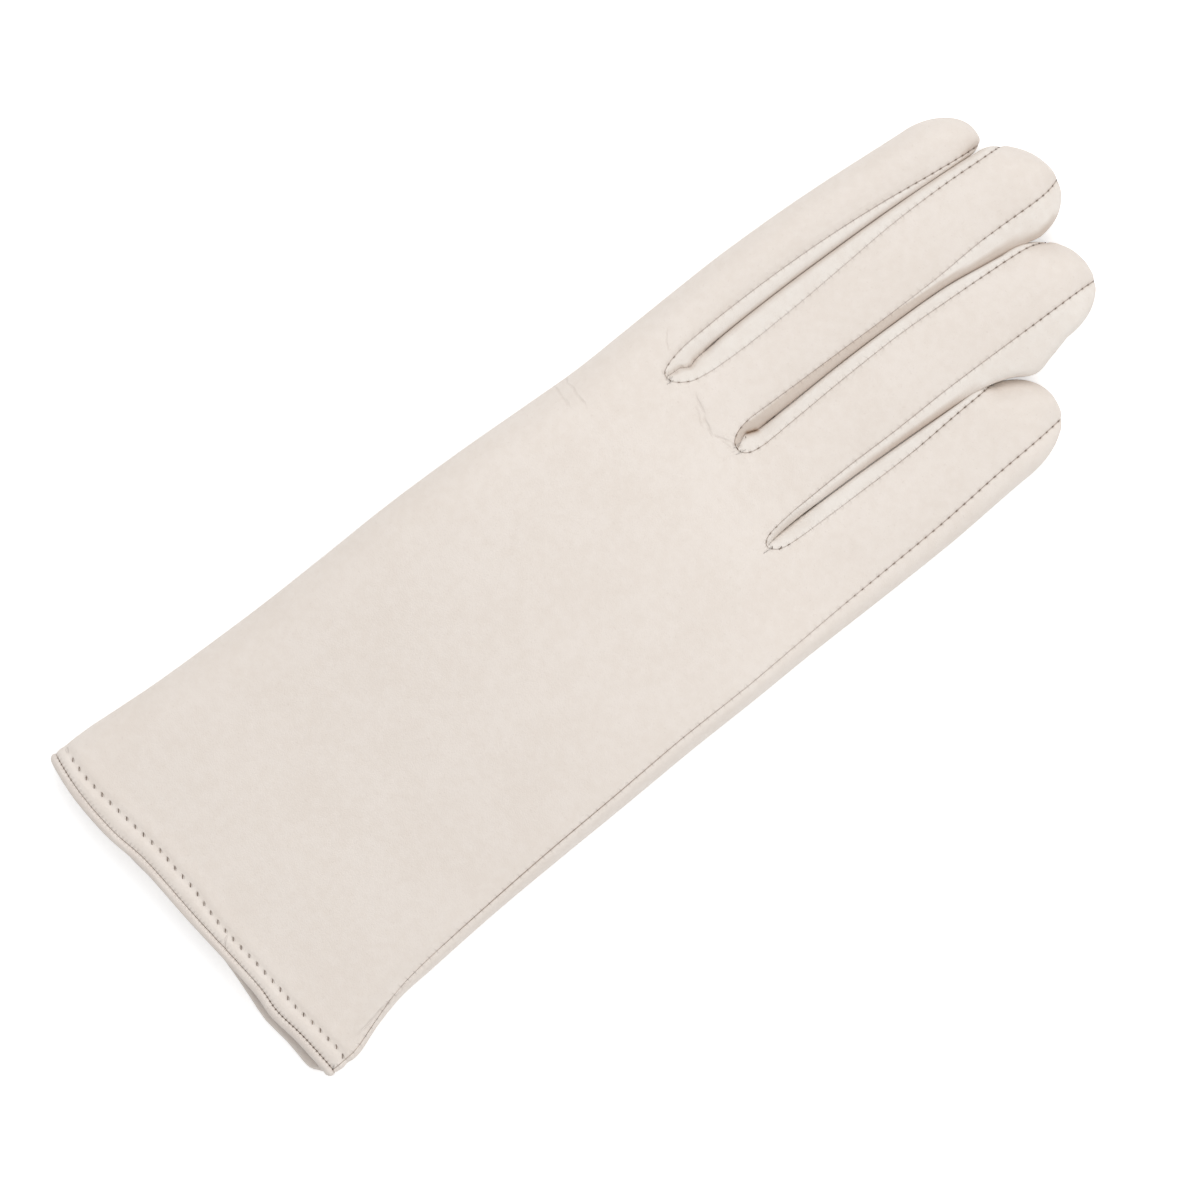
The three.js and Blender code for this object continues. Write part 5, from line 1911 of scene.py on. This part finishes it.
@dataclass(frozen=True)
class Nappa:
    """A nappa leather finish: its colours and how much each effect shows."""

    name: str
    light: Colour
    deep: Colour
    # seam: colour of painted shade in creases, dimples and needle holes, of dirt and painted shade in seam
    # grooves, and of the pores' grain
    seam: Colour = (0.34, 0.235, 0.17)
    # fold: colour of the painted shade along the gaps between fingers
    fold: Colour = (0.36, 0.23, 0.14)
    creases: tuple[Crease, ...] = ()
    roughness: float = 0.5
    grain: float = 0.035
    specular: float = 0.35
    sheen: float = 0.08
    wander: float = 1.6 * MM  # how far a crease strays from its straight line

    def material(self, effects: LeatherEffects) -> bpy.types.Material:
        """Builds the material.

        Args:
            effects: The shared node groups.

        Returns:
            The material.
        """
        made, shader, skin = new_finish(self.name)
        grain = shader.add("ShaderNodeGroup", node_tree=effects.grain)
        grain.inputs["Depth"].default_value = self.grain
        seam = shader.add("ShaderNodeGroup", node_tree=effects.seam)
        row = shader.add("ShaderNodeGroup", node_tree=effects.row)
        mottle = shader.ramp(grain.outputs["Mottle"], 0.35, 0.65)
        colour = shader.mix(mottle, (*self.deep, 1), (*self.light, 1))
        # painted shade along the gaps between fingers, in the fold colour
        colour = shader.mix(shader.mark("fold_shade"), colour, (*self.fold, 1))
        crease, furrow = self.creased(shader, effects)
        # the seam colour painted over: painted shade in creases, topstitch dimples and needle holes, dirt
        # and painted shade in the seam grooves, and grain in the pores
        darkened = (
            (crease, 0.1),
            (grain.outputs["Pores"], 0.08),
            (row.outputs["Dimple"], 0.1),
            (seam.outputs["Groove"], 0.46),
            (seam.outputs["Hole"], 0.4),
        )
        for where, share in darkened:
            colour = shader.mix(shader.times(where, share), colour, (*self.seam, 1))
        rough = shader.ramp(grain.outputs["Mottle"], 0.3, 0.7, self.roughness + 0.05, self.roughness - 0.04)
        height = shader.math("ADD", seam.outputs["Height"], row.outputs["Height"])
        height = shader.math("ADD", grain.outputs["Height"], height)
        height = shader.math("ADD", furrow, height)
        shader.fill(skin, {"Base Color": colour, "Roughness": rough, "Normal": shader.bump(height, MM)})
        shader.fill(skin, {"Sheen Weight": self.sheen, "Sheen Roughness": 0.5})
        skin.inputs["Specular IOR Level"].default_value = self.specular
        return made

    def creased(self, shader: Shader, effects: LeatherEffects) -> tuple[Socket | float, Socket | float]:
        """How much of a fine crease lies at each place, and its height.

        Args:
            shader: Lays out the nodes.
            effects: The shared node groups.

        Returns:
            The mask, which paints shade into the creases, and the height, both 0 for a leather without
            creases.
        """
        mask: Socket | float = 0.0
        height: Socket | float = 0.0
        if not self.creases:
            return mask, height
        place = shader.add("ShaderNodeSeparateXYZ")
        shader.feed(place.inputs[0], shader.place())
        wandering = {}
        for axis, title, scale in ((0, "Across", 230), (1, "Along", 310)):
            moved = shader.math("MULTIPLY_ADD", shader.noise(scale, 2), self.wander, place.outputs[axis])
            wandering[title] = shader.math("SUBTRACT", moved, self.wander / 2)
        for crease in self.creases:
            node = shader.add("ShaderNodeGroup", node_tree=effects.crease)
            shader.fill(node, wandering | crease.sockets())
            mask = shader.math("MAXIMUM", mask, node.outputs["Line"])
            height = shader.math("ADD", height, node.outputs["Height"])
        return mask, height


@dataclass(frozen=True)
class SewingThread:
    """A thread finish: twisted strands with a soft gloss."""

    name: str
    light: Colour
    dark: Colour

    def material(self) -> bpy.types.Material:
        """Builds the material."""
        made, shader, skin = new_finish(self.name)
        strands = shader.noise(5200, 2, 0.5, (1.0, 0.35, 1.0))
        colour = shader.mix(shader.ramp(strands, 0.35, 0.65), (*self.dark, 1), (*self.light, 1))
        rough = shader.ramp(strands, 0.3, 0.7, 0.75, 0.55)
        relief = shader.bump(strands, 0.04 * MM)
        shader.fill(skin, {"Base Color": colour, "Roughness": rough, "Normal": relief})
        return made


@dataclass
class Trank:
    """Back and palm in one piece of leather, folded at the index side and sewn at the outer side."""

    pattern: GlovePattern
    rows: Rows
    name: str = "trank"

    def cut(self, skin: Skin) -> None:
        """Adds every strip, once round the hand from the index fold."""
        for strip in self.pattern.strips():
            along, keep = self.rows.of(strip.finger)
            grid = strip.points(along)
            sewn = np.zeros(grid.shape[:2], bool)
            sewn[:, 0] = strip.sewn & (along < strip.finger.side_end(Side.OUTER))
            skin.add(self.name, grid, keep, every(grid.shape[1], 3), sewn)


@dataclass
class Fourchette:
    """One side of a finger, from the slit in the back to the slit in the palm."""

    name: str
    finger: Finger
    side: Side
    fold: PaintedFoldShade

    def cut(self, skin: Skin, pattern: GlovePattern, rows: Rows) -> None:
        """Adds its four patches.

        Args:
            skin: The skin that they join.
            pattern: The glove's shape.
            rows: Its rows.
        """
        gap, end = self.finger.gap(self.side), self.finger.side_end(self.side)
        for upper in (True, False):
            wall = SideWall(pattern, self.finger, self.side, upper)
            halves = ((gap.start(upper), SLOPE_SHARES, wall.slope), (gap.web, BAND_SHARES, wall.band))
            for start, shares, shape in halves:
                along, keep = rows.of(self.finger, start, end)
                grid, kept = shape(shares, along), every(len(shares), 4)
                if upper != (self.side is Side.OUTER):
                    grid, kept = grid[:, ::-1], kept[::-1]
                skin.add(self.name, grid, keep, kept)


@dataclass
class Thumb:
    """The folded thumb: a flattened closed tube with an oval opening on top."""

    pattern: GlovePattern
    flatness: float = 2.7
    length_rows: int = 70
    end_rows: int = 12
    step: float = 0.02
    widest_opening: float = 0.9
    name: str = "thumb"

    def __post_init__(self) -> None:
        """Works out, for each row, the section's centre, direction and size."""
        turned = np.sin(np.linspace(0, QUARTER, self.end_rows + 1)[1:])
        length = np.linspace(0, 1, self.length_rows)
        share = np.concatenate([np.zeros(self.end_rows), length, np.ones(self.end_rows)])
        self.reach = np.concatenate([-turned[::-1], np.zeros(self.length_rows), turned])
        line = self.pattern.hand.thumb
        ahead, behind = np.minimum(share + self.step, 1), np.maximum(share - self.step, 0)
        direction = unit(np.stack([line[k](ahead) - line[k](behind) for k in ("across", "along")], -1))
        self.half = line["half"](share)
        centre = np.stack([line["across"](share), line["along"](share)], -1)
        self.centre = centre + direction * (self.reach * self.half)[:, None]
        self.sideways = np.stack([-direction[:, 1], direction[:, 0]], -1)
        self.closing = np.sqrt(np.maximum(1 - self.reach**2, 0))

    def flat(self, value: Array) -> Array:
        """A sine or cosine of a flattened round section."""
        return np.sign(value) * np.abs(value) ** (2 / self.flatness)

    def points(self, angle: Array) -> Array:
        """Points at angles that run over the top from the outline's right to its left."""
        across = -self.flat(np.cos(angle)) * (self.half * self.closing)[:, None]
        place = self.centre[:, None, :] + self.sideways[:, None, :] * across[..., None]
        up = SIZES.thumb_height / 2 * (1 + self.flat(np.sin(angle)) * self.closing[:, None])
        return np.concatenate([place, up[..., None]], -1)

    def opening(self) -> tuple[Array, Array]:
        """Angles at which each row crosses the opening; the same angle twice where it doesn't."""
        hole = self.pattern.hole
        size = np.array([hole.half, hole.length])
        start = (self.centre - [hole.across, hole.along]) / size
        step = self.sideways / size
        nearest = -(start * step).sum(1) / (step**2).sum(1)
        closest = ((start + step * nearest[:, None]) ** 2).sum(1)
        inside = (self.reach == 0) & (closest < 1)
        chord = np.where(inside, np.sqrt(np.maximum(1 - closest, 0) / (step**2).sum(1)), 0)
        middle = np.where(self.reach == 0, nearest, 0)
        return self.angle_at(middle - chord), self.angle_at(middle + chord)

    def angle_at(self, offset: Array) -> Array:
        """Angle of the top's points at an offset to the left of the section's centre."""
        share = np.clip(-offset / self.half, -self.widest_opening, self.widest_opening)
        return np.arccos(np.sign(share) * np.abs(share) ** (self.flatness / 2))

    def cut(self, skin: Skin) -> None:
        """Adds the upper leather on either side of the opening, and the lower leather."""
        first, last = self.opening()
        half_turn = np.full(len(self.half), math.pi)
        keep = every(len(self.half), 4)
        opened = np.flatnonzero(last - first > THIN)
        keep[[opened[0] - 1, opened[-1] + 1]] = True
        parts = ((0 * first, first, 16), (last, half_turn, 16), (half_turn, 2 * half_turn, 32))
        for start, end, count in parts:
            angle = lerp(start[:, None], end[:, None], np.linspace(0, 1, count + 1)[None, :])
            skin.add(self.name, self.points(angle)[:, ::-1], keep, every(count + 1, 4))

    def side_seam(self) -> StitchLine:
        """The seam along its left outline."""
        points = self.points(np.full((len(self.half), 1), math.pi))[:, 0]
        evenly = np.full(len(points), 0.5)
        return StitchLine("thumb_side", points, pitch=2.2, sunk=0.3, dark=evenly, shows=evenly)


@dataclass
class CuffBinding:
    """A narrow strip sewn along the cuff's edge and rolled round it to the inside.

    section holds how far each point lies beyond the trank's edge, and how deep inwards.
    """

    pattern: GlovePattern
    section: tuple[tuple[float, float], ...] = (
        (0.06, 0.70),
        (0.07, 0.26),
        (0.26, 0.05),
        (0.55, -0.08),
        (0.95, -0.12),
        (1.42, 0.02),
        (1.80, 0.32),
        (2.06, 0.68),
        (2.18, 1.10),
        (2.16, 1.55),
        (1.98, 1.95),
        (1.62, 2.27),
        (1.1, 2.42),
        (0.2, 2.45),
        (-2.0, 2.42),
        (-4.8, 2.40),
        (-5.05, 2.15),
        (-5.05, 1.65),
        (-4.8, 1.42),
        (-2.0, 1.40),
        (0.0, 1.38),
    )
    spacing: float = 0.35
    tick_pitch: float = 1.15

    def edge_loop(self) -> tuple[Array, Array]:
        """The trank's cuff edge once round, and the points 10 mm above it."""
        rows = np.array([0.0, 10.0])
        parts = [strip.points(rows)[:, :-1] for strip in self.pattern.strips()]
        edge, above = np.concatenate(parts, axis=1)
        return edge, above

    def stations(self) -> tuple[Array, Array, Array]:
        """The same two loops sampled evenly, and the way run along the edge."""
        edge, above = self.edge_loop()
        closed, closed_above = (np.vstack([loop, loop[:1]]) for loop in (edge, above))
        run = run_along(closed)
        at = np.linspace(0, run[-1], int(run[-1] / self.spacing), endpoint=False)
        return picked(closed, run, at), picked(closed_above, run, at), at

    def build(self) -> Sewn:
        """Sweeps the section round the edge."""
        edge, above, run = self.stations()
        up = unit(above - edge)
        tangent = unit(np.roll(edge, -3, axis=0) - np.roll(edge, 3, axis=0))
        outward = unit(np.cross(tangent, up))
        beyond, depth = np.array(self.section).T
        count, size = len(edge), len(beyond)
        points = edge[:, None, :] - up[:, None, :] * beyond[None, :, None]
        points = points - outward[:, None, :] * (depth[None, :, None] - self.bulge(edge, run)[..., None])
        points[..., 2] = np.maximum(points[..., 2], 0)
        number = np.arange(count * size).reshape(count, size)
        after = np.roll(number, -1, axis=0)
        faces = np.stack([number, np.roll(number, -1, axis=1), np.roll(after, -1, axis=1), after], -1)
        seam_away = np.where(depth < 1.3, np.maximum(beyond, 0), 3.0)[None, :]
        ends = self.gathered(edge)[:, None]
        marks = {
            "seam_away": seam_away,
            "seam_stitch": (run / self.tick_pitch)[:, None],
            "seam_dark": self.darkness(ends),
            "seam_shows": ends,
            "row_offset": Topstitching.reach,
            "row_stitch": 0.0,
            "fold_shade": 0.0,
        }
        marks = {title: np.broadcast_to(value, (count, size)).ravel() for title, value in marks.items()}
        return Sewn(points.reshape(-1, 3), faces.reshape(-1, 4).tolist(), set(), marks)

    @staticmethod
    def gathered(edge: Array) -> Array:
        """Where the stitches gather the binding: towards both ends of the back."""
        ends = np.maximum(smooth(edge[:, 0], 20, 28), 1 - smooth(edge[:, 0], -46, -38))
        return ends * smooth(edge[:, 2], 6, 9)

    @staticmethod
    def darkness(gathered: Array) -> Array:
        """Darkness of the seam on the back, its dirt and painted shade, more where it is gathered."""
        return 0.35 + 0.3 * gathered

    def bulge(self, edge: Array, run: Array) -> Array:
        """How far the roll swells outwards, with small creases towards both ends of the back."""
        beyond, depth = np.array(self.section).T
        ends = self.gathered(edge)
        tick = 0.5 + 0.5 * np.cos(2 * math.pi * run / self.tick_pitch)
        waves = ((0.12, 3.1, 0.3), (0.12, 5.3, 1.9), (0.07, 1.9, 4.0))
        drift = sum(size * np.sin(run / width + start) for size, width, start in waves)
        proud = (depth < 1.2) & (beyond > 0.2)
        section = np.where(proud, np.sin(clamped((beyond - 0.1) / 2.1) * math.pi), 0)
        return (drift - 0.14 * ends * tick)[:, None] * section[None, :]


@dataclass
class Studio:
    """Pale floor, camera straight above and three soft lamps, the strongest on the index side."""

    across: float = 1.8
    along: float = -10.5
    focus_height: float = 10.0
    width: float = 282.0
    lens: float = 135.0
    sensor: float = 36.0
    turn: float = 51.5
    floor_half: float = 5000.0
    floor_level: float = -0.2
    world_light: float = 0.535
    lamps: tuple[tuple[str, Place, float, float], ...] = (
        ("key_light", (-0.9, 0.42, 1.2), 1.2, 8.8),
        ("top_light", (0.18, 0.66, 1.25), 1.4, 4.1),
        ("fill_light", (1.2, 0.22, 1.0), 1.1, 5.1),
    )

    def build(self) -> None:
        """Makes the camera, the floor, the lamps and the world."""
        scene = bpy.context.scene
        scene.view_settings.view_transform = "Standard"
        distance = self.width * self.lens / self.sensor
        data = bpy.data.cameras.new("camera")
        data.lens, data.sensor_width, data.clip_end = self.lens, self.sensor, 10
        camera = bpy.data.objects.new("camera", data)
        camera.location = Vector((self.across, self.along, self.focus_height + distance)) * MM
        camera.rotation_euler = (0, 0, math.radians(self.turn))
        scene.collection.objects.link(camera)
        scene.camera = camera
        self.add_floor()
        for lamp in self.lamps:
            self.add_lamp(*lamp)
        world = bpy.data.worlds.new("studio")
        world.use_nodes = True
        sky = world.node_tree.nodes["Background"]
        sky.inputs["Color"].default_value = (1, 1, 1, 1)
        sky.inputs["Strength"].default_value = self.world_light
        scene.world = world

    def add_floor(self) -> None:
        """Makes the floor, just under the glove."""
        half = self.floor_half
        corners = [(-half, -half), (half, -half), (half, half), (-half, half)]
        low = self.floor_level
        points = np.array([(across, along + CENTRE_ALONG, low) for across, along in corners])
        floor = mesh_object("floor", points, [[0, 1, 2, 3]])
        made, shader, skin = new_finish("pale_floor")
        seen = shader.add("ShaderNodeLightPath").outputs["Is Camera Ray"]
        glow = shader.math("MULTIPLY_ADD", seen, 0.3, 0.06)
        pale = {"Base Color": (0.93, 0.93, 0.93, 1), "Roughness": 0.9}
        shader.fill(skin, {**pale, "Emission Color": (1, 1, 1, 1), "Emission Strength": glow})
        floor.data.materials.append(made)

    @staticmethod
    def add_lamp(name: str, place: Place, size: float, watts: float) -> None:
        """Adds a square soft light that faces the glove.

        Args:
            name: The light's name.
            place: Where it stands, in metres.
            size: Length of its side, in metres.
            watts: Its power.
        """
        data = bpy.data.lights.new(name, "AREA")
        data.size, data.energy = size, watts
        lamp = bpy.data.objects.new(name, data)
        lamp.location = place
        lamp.rotation_euler = (-Vector(place)).to_track_quat("-Z", "Y").to_euler()
        bpy.context.scene.collection.objects.link(lamp)


class Stitching:
    """Lays the threads on the finished leather."""

    least_show = 0.5
    slant = (0.80, -0.58, 0.0)
    over_glove = 60.0
    tack_rise = 0.05
    tack_bow = 0.1

    def __init__(self, plan: SeamPlan, skin: Skin, leathers: Sequence[Sewn]) -> None:
        """Makes the searches for the leather's normals and for its surface."""
        self.plan, self.skin = plan, skin
        self.tree = search_tree(skin.point)
        points, faces = [], []
        for leather in leathers:
            start = len(points)
            points += leather.points.tolist()
            faces += [[start + corner for corner in face] for face in leather.faces]
        self.surface = BVHTree.FromPolygons(points, faces)

    def drop(self, across: float, along: float) -> tuple[Vector | None, Vector | None]:
        """Point of the leather straight below a place, and its normal there."""
        above = Vector((across, along, self.over_glove))
        return self.surface.ray_cast(above, Vector((0, 0, -1)))[:2]

    def seams(self) -> StitchLayer:
        """The stitches along every seam, and the small ticks beside the binding."""
        layer = StitchLayer(7)
        for line in self.plan.lines:
            ticks = line.name == "binding_back"
            thread = Thread.TICK if ticks else Thread.SEAM
            run = np.arange(0.5, line.run[-1] / line.pitch) * line.pitch
            for centre, direction, _, shows in zip(*line.at(run)):
                if shows < self.least_show:
                    continue
                normal = self.skin.normal[self.tree.find(centre)[1]]
                depth = line.sunk * (1.0 - 0.55 * shows) - 0.04
                way = np.cross(normal, direction) if ticks else direction
                layer.lay(centre - normal * depth, way / np.linalg.norm(way), normal, thread)
        return layer

    def row(self) -> StitchLayer:
        """The topstitch row, each stitch slanted across it."""
        layer = StitchLayer(11)
        across = Topstitching.samples
        line = joined(across, Topstitching.line(across), 0)
        _, stitch = Topstitching.measures(line)
        for number in np.arange(math.ceil(stitch[0]), stitch[-1] - 0.5) + 0.5:
            x = float(np.interp(number, stitch, across))
            hit, normal = self.drop(x, float(Topstitching.line(x)))
            if hit is None or not Topstitching.first_across < x < Topstitching.last_across:
                continue
            normal = np.array(normal)
            way = np.array(self.slant) - normal * (np.array(self.slant) @ normal)
            layer.lay(np.array(hit), way / np.linalg.norm(way), normal, Thread.TOP)
        return layer

    def tacks(self, pale: bool) -> StitchLayer:
        """The tacks and thread ends at the slits, of pale thread or of the dark thread whose colour is
        painted shade.
        """
        layer = StitchLayer(13)
        shares = np.linspace(0, 1, 7)
        girths = Thread.TACK.radius * np.array([0.5, 0.9, 1.0, 1.0, 1.0, 0.9, 0.5])
        for tack in TACKS:
            if tack.pale is not pale:
                continue
            places = lerp(np.array(tack.start), np.array(tack.end), shares[:, None])
            hits = [self.drop(float(across), float(along))[0] for across, along in places]
            if None in hits:
                continue
            middle = np.array(hits) + [0, 0, self.tack_rise]
            middle[:, 2] += self.tack_bow * np.sin(shares * math.pi)
            way = middle[-1] - middle[0]
            side = np.cross([0, 0, 1], way / np.linalg.norm(way))
            layer.tube(middle, side, np.array([0, 0, 1]), girths)
        return layer


class Glove:
    """The whole glove: cuts its pieces, sews them and lays the stitches."""

    def __init__(self) -> None:
        """Makes the pattern, the seams and the finishes."""
        pattern = self.pattern = GlovePattern()
        self.rows = Rows(pattern, 0.7)
        self.plan = SeamPlan(pattern)
        effects = LeatherEffects()
        leather = Nappa("nappa", (0.81, 0.74, 0.68), (0.78, 0.705, 0.64), creases=CREASES)
        self.nappa = leather.material(effects)
        self.strips = Nappa("strip_nappa", (0.815, 0.76, 0.705), (0.78, 0.715, 0.655)).material(effects)
        self.bound = Nappa("binding_nappa", (0.79, 0.72, 0.66), (0.75, 0.67, 0.61)).material(effects)
        # this thread's dark colour is painted shade: it stands in for the shadows in needle holes and
        # dimples
        self.shade_darkened_thread = SewingThread("taupe_thread", (0.26, 0.19, 0.145), (0.12, 0.085, 0.065)).material()
        self.pale = SewingThread("pale_thread", (0.66, 0.62, 0.58), (0.45, 0.41, 0.38)).material()
        self.fourchettes = self.line_gaps(pattern)

    @staticmethod
    def line_gaps(pattern: GlovePattern) -> tuple[Fourchette, ...]:
        """The six fourchettes, each with the painted shade along its gap."""
        first, second, third = pattern.gaps
        index, middle, ring, little = pattern.fingers
        # slanted: a ridge that paints shade along the slanted fold at the bottom of the second slit
        slanted = (Ridge(((-6.3, 180.0), (-6.9, 178.2), (-7.7, 176.2)), 0.55, 0.95, 0.6),)
        # depth of the painted shade at stations along each gap
        first_tips = ((262, 0.20), (272, 0))
        deep_tips = ((262, 0.42), (272, 0))
        pale_tips = ((262, 0.12), (272, 0))
        near_little = ((180, 0.15), (203, 0.48), (219, 0.52), (228, 0.0))
        on_little = ((216, 0.10), (226, 0))
        lined = (
            ("index", index, Side.OUTER, PaintedFoldShade(first, first_tips, 0.4, 1.2, 1.2)),
            ("middle_index_side", middle, Side.INDEX, PaintedFoldShade(first, first_tips, 0.4, 1.1, 1.2)),
            ("middle_ring_side", middle, Side.OUTER, PaintedFoldShade(second, deep_tips, 2.3, 3.4, 0.65, slanted)),
            ("ring_middle_side", ring, Side.INDEX, PaintedFoldShade(second, pale_tips, 0.1, 0.7, 0.45, slanted)),
            ("ring_little_side", ring, Side.OUTER, PaintedFoldShade(third, near_little, 0.8, 2.0)),
            ("little", little, Side.INDEX, PaintedFoldShade(third, on_little, 0.1, 0.6, 0.45)),
        )
        return tuple(Fourchette(f"fourchette_{name}", *rest) for name, *rest in lined)

    def build(self) -> None:
        """Builds every piece and reports it."""
        skin = Skin()
        Trank(self.pattern, self.rows).cut(skin)
        for piece in self.fourchettes:
            piece.cut(skin, self.pattern, self.rows)
        skin.close()
        sewing = Sewing(skin, SeamFinder(self.plan.lines), BackRelief())
        trank = sewing.sew("trank", with_relief=True)
        self.dress("trank_skin", trank, self.nappa, "nappa", "trank_back", "trank_palm")
        leathers = [trank]
        for piece in self.fourchettes:
            leathers.append(sewing.sew(piece.name, fold=piece.fold))
            self.dress(f"{piece.name}_skin", leathers[-1], self.strips, "strip_nappa", piece.name)
        self.build_thumb()
        binding = CuffBinding(self.pattern).build()
        self.dress("cuff_binding_roll", binding, self.bound, "binding_nappa", "cuff_binding")
        stitching = Stitching(self.plan, skin, leathers)
        self.lay("seam_stitches", stitching.seams(), self.shade_darkened_thread)
        self.lay("topstitch_row", stitching.row(), self.shade_darkened_thread)
        self.lay("slit_tacks", stitching.tacks(pale=False), self.shade_darkened_thread)
        self.lay("slit_thread_ends", stitching.tacks(pale=True), self.pale)

    def build_thumb(self) -> None:
        """Builds the thumb, which shares no seam edge with the trank's skin."""
        skin = Skin()
        thumb = Thumb(self.pattern)
        thumb.cut(skin)
        skin.close()
        sewn = Sewing(skin, SeamFinder([thumb.side_seam()]), BackRelief()).sew(thumb.name)
        self.dress("thumb_skin", sewn, self.nappa, "nappa", "thumb_upper", "thumb_lower")

    @staticmethod
    def dress(name: str, sewn: Sewn, material: bpy.types.Material, slot: str, *nodes: str) -> None:
        """Puts a finished piece in the scene.

        Args:
            name: The object's name.
            sewn: The piece.
            material: Its finish.
            slot: Not used.
            nodes: The CAD nodes that it stands for.
        """
        made = sewn.as_object(name)
        made.data.materials.append(material)
        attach(made, "root")
        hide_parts(*nodes)
        log.info("%s: %d points, %d faces", name, len(made.data.vertices), len(made.data.polygons))

    @staticmethod
    def lay(name: str, layer: StitchLayer, thread: bpy.types.Material) -> None:
        """Puts a layer of stitches in the scene."""
        made = layer.as_object(name)
        made.data.materials.append(thread)
        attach(made, "root")
        log.info("%s: %d faces", name, len(made.data.polygons))


def main() -> None:
    """Loads the frame, builds the glove and the studio."""
    logging.basicConfig(level=logging.INFO, format="%(message)s")
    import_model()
    Glove().build()
    Studio().build()


if __name__ == "__main__":
    main()
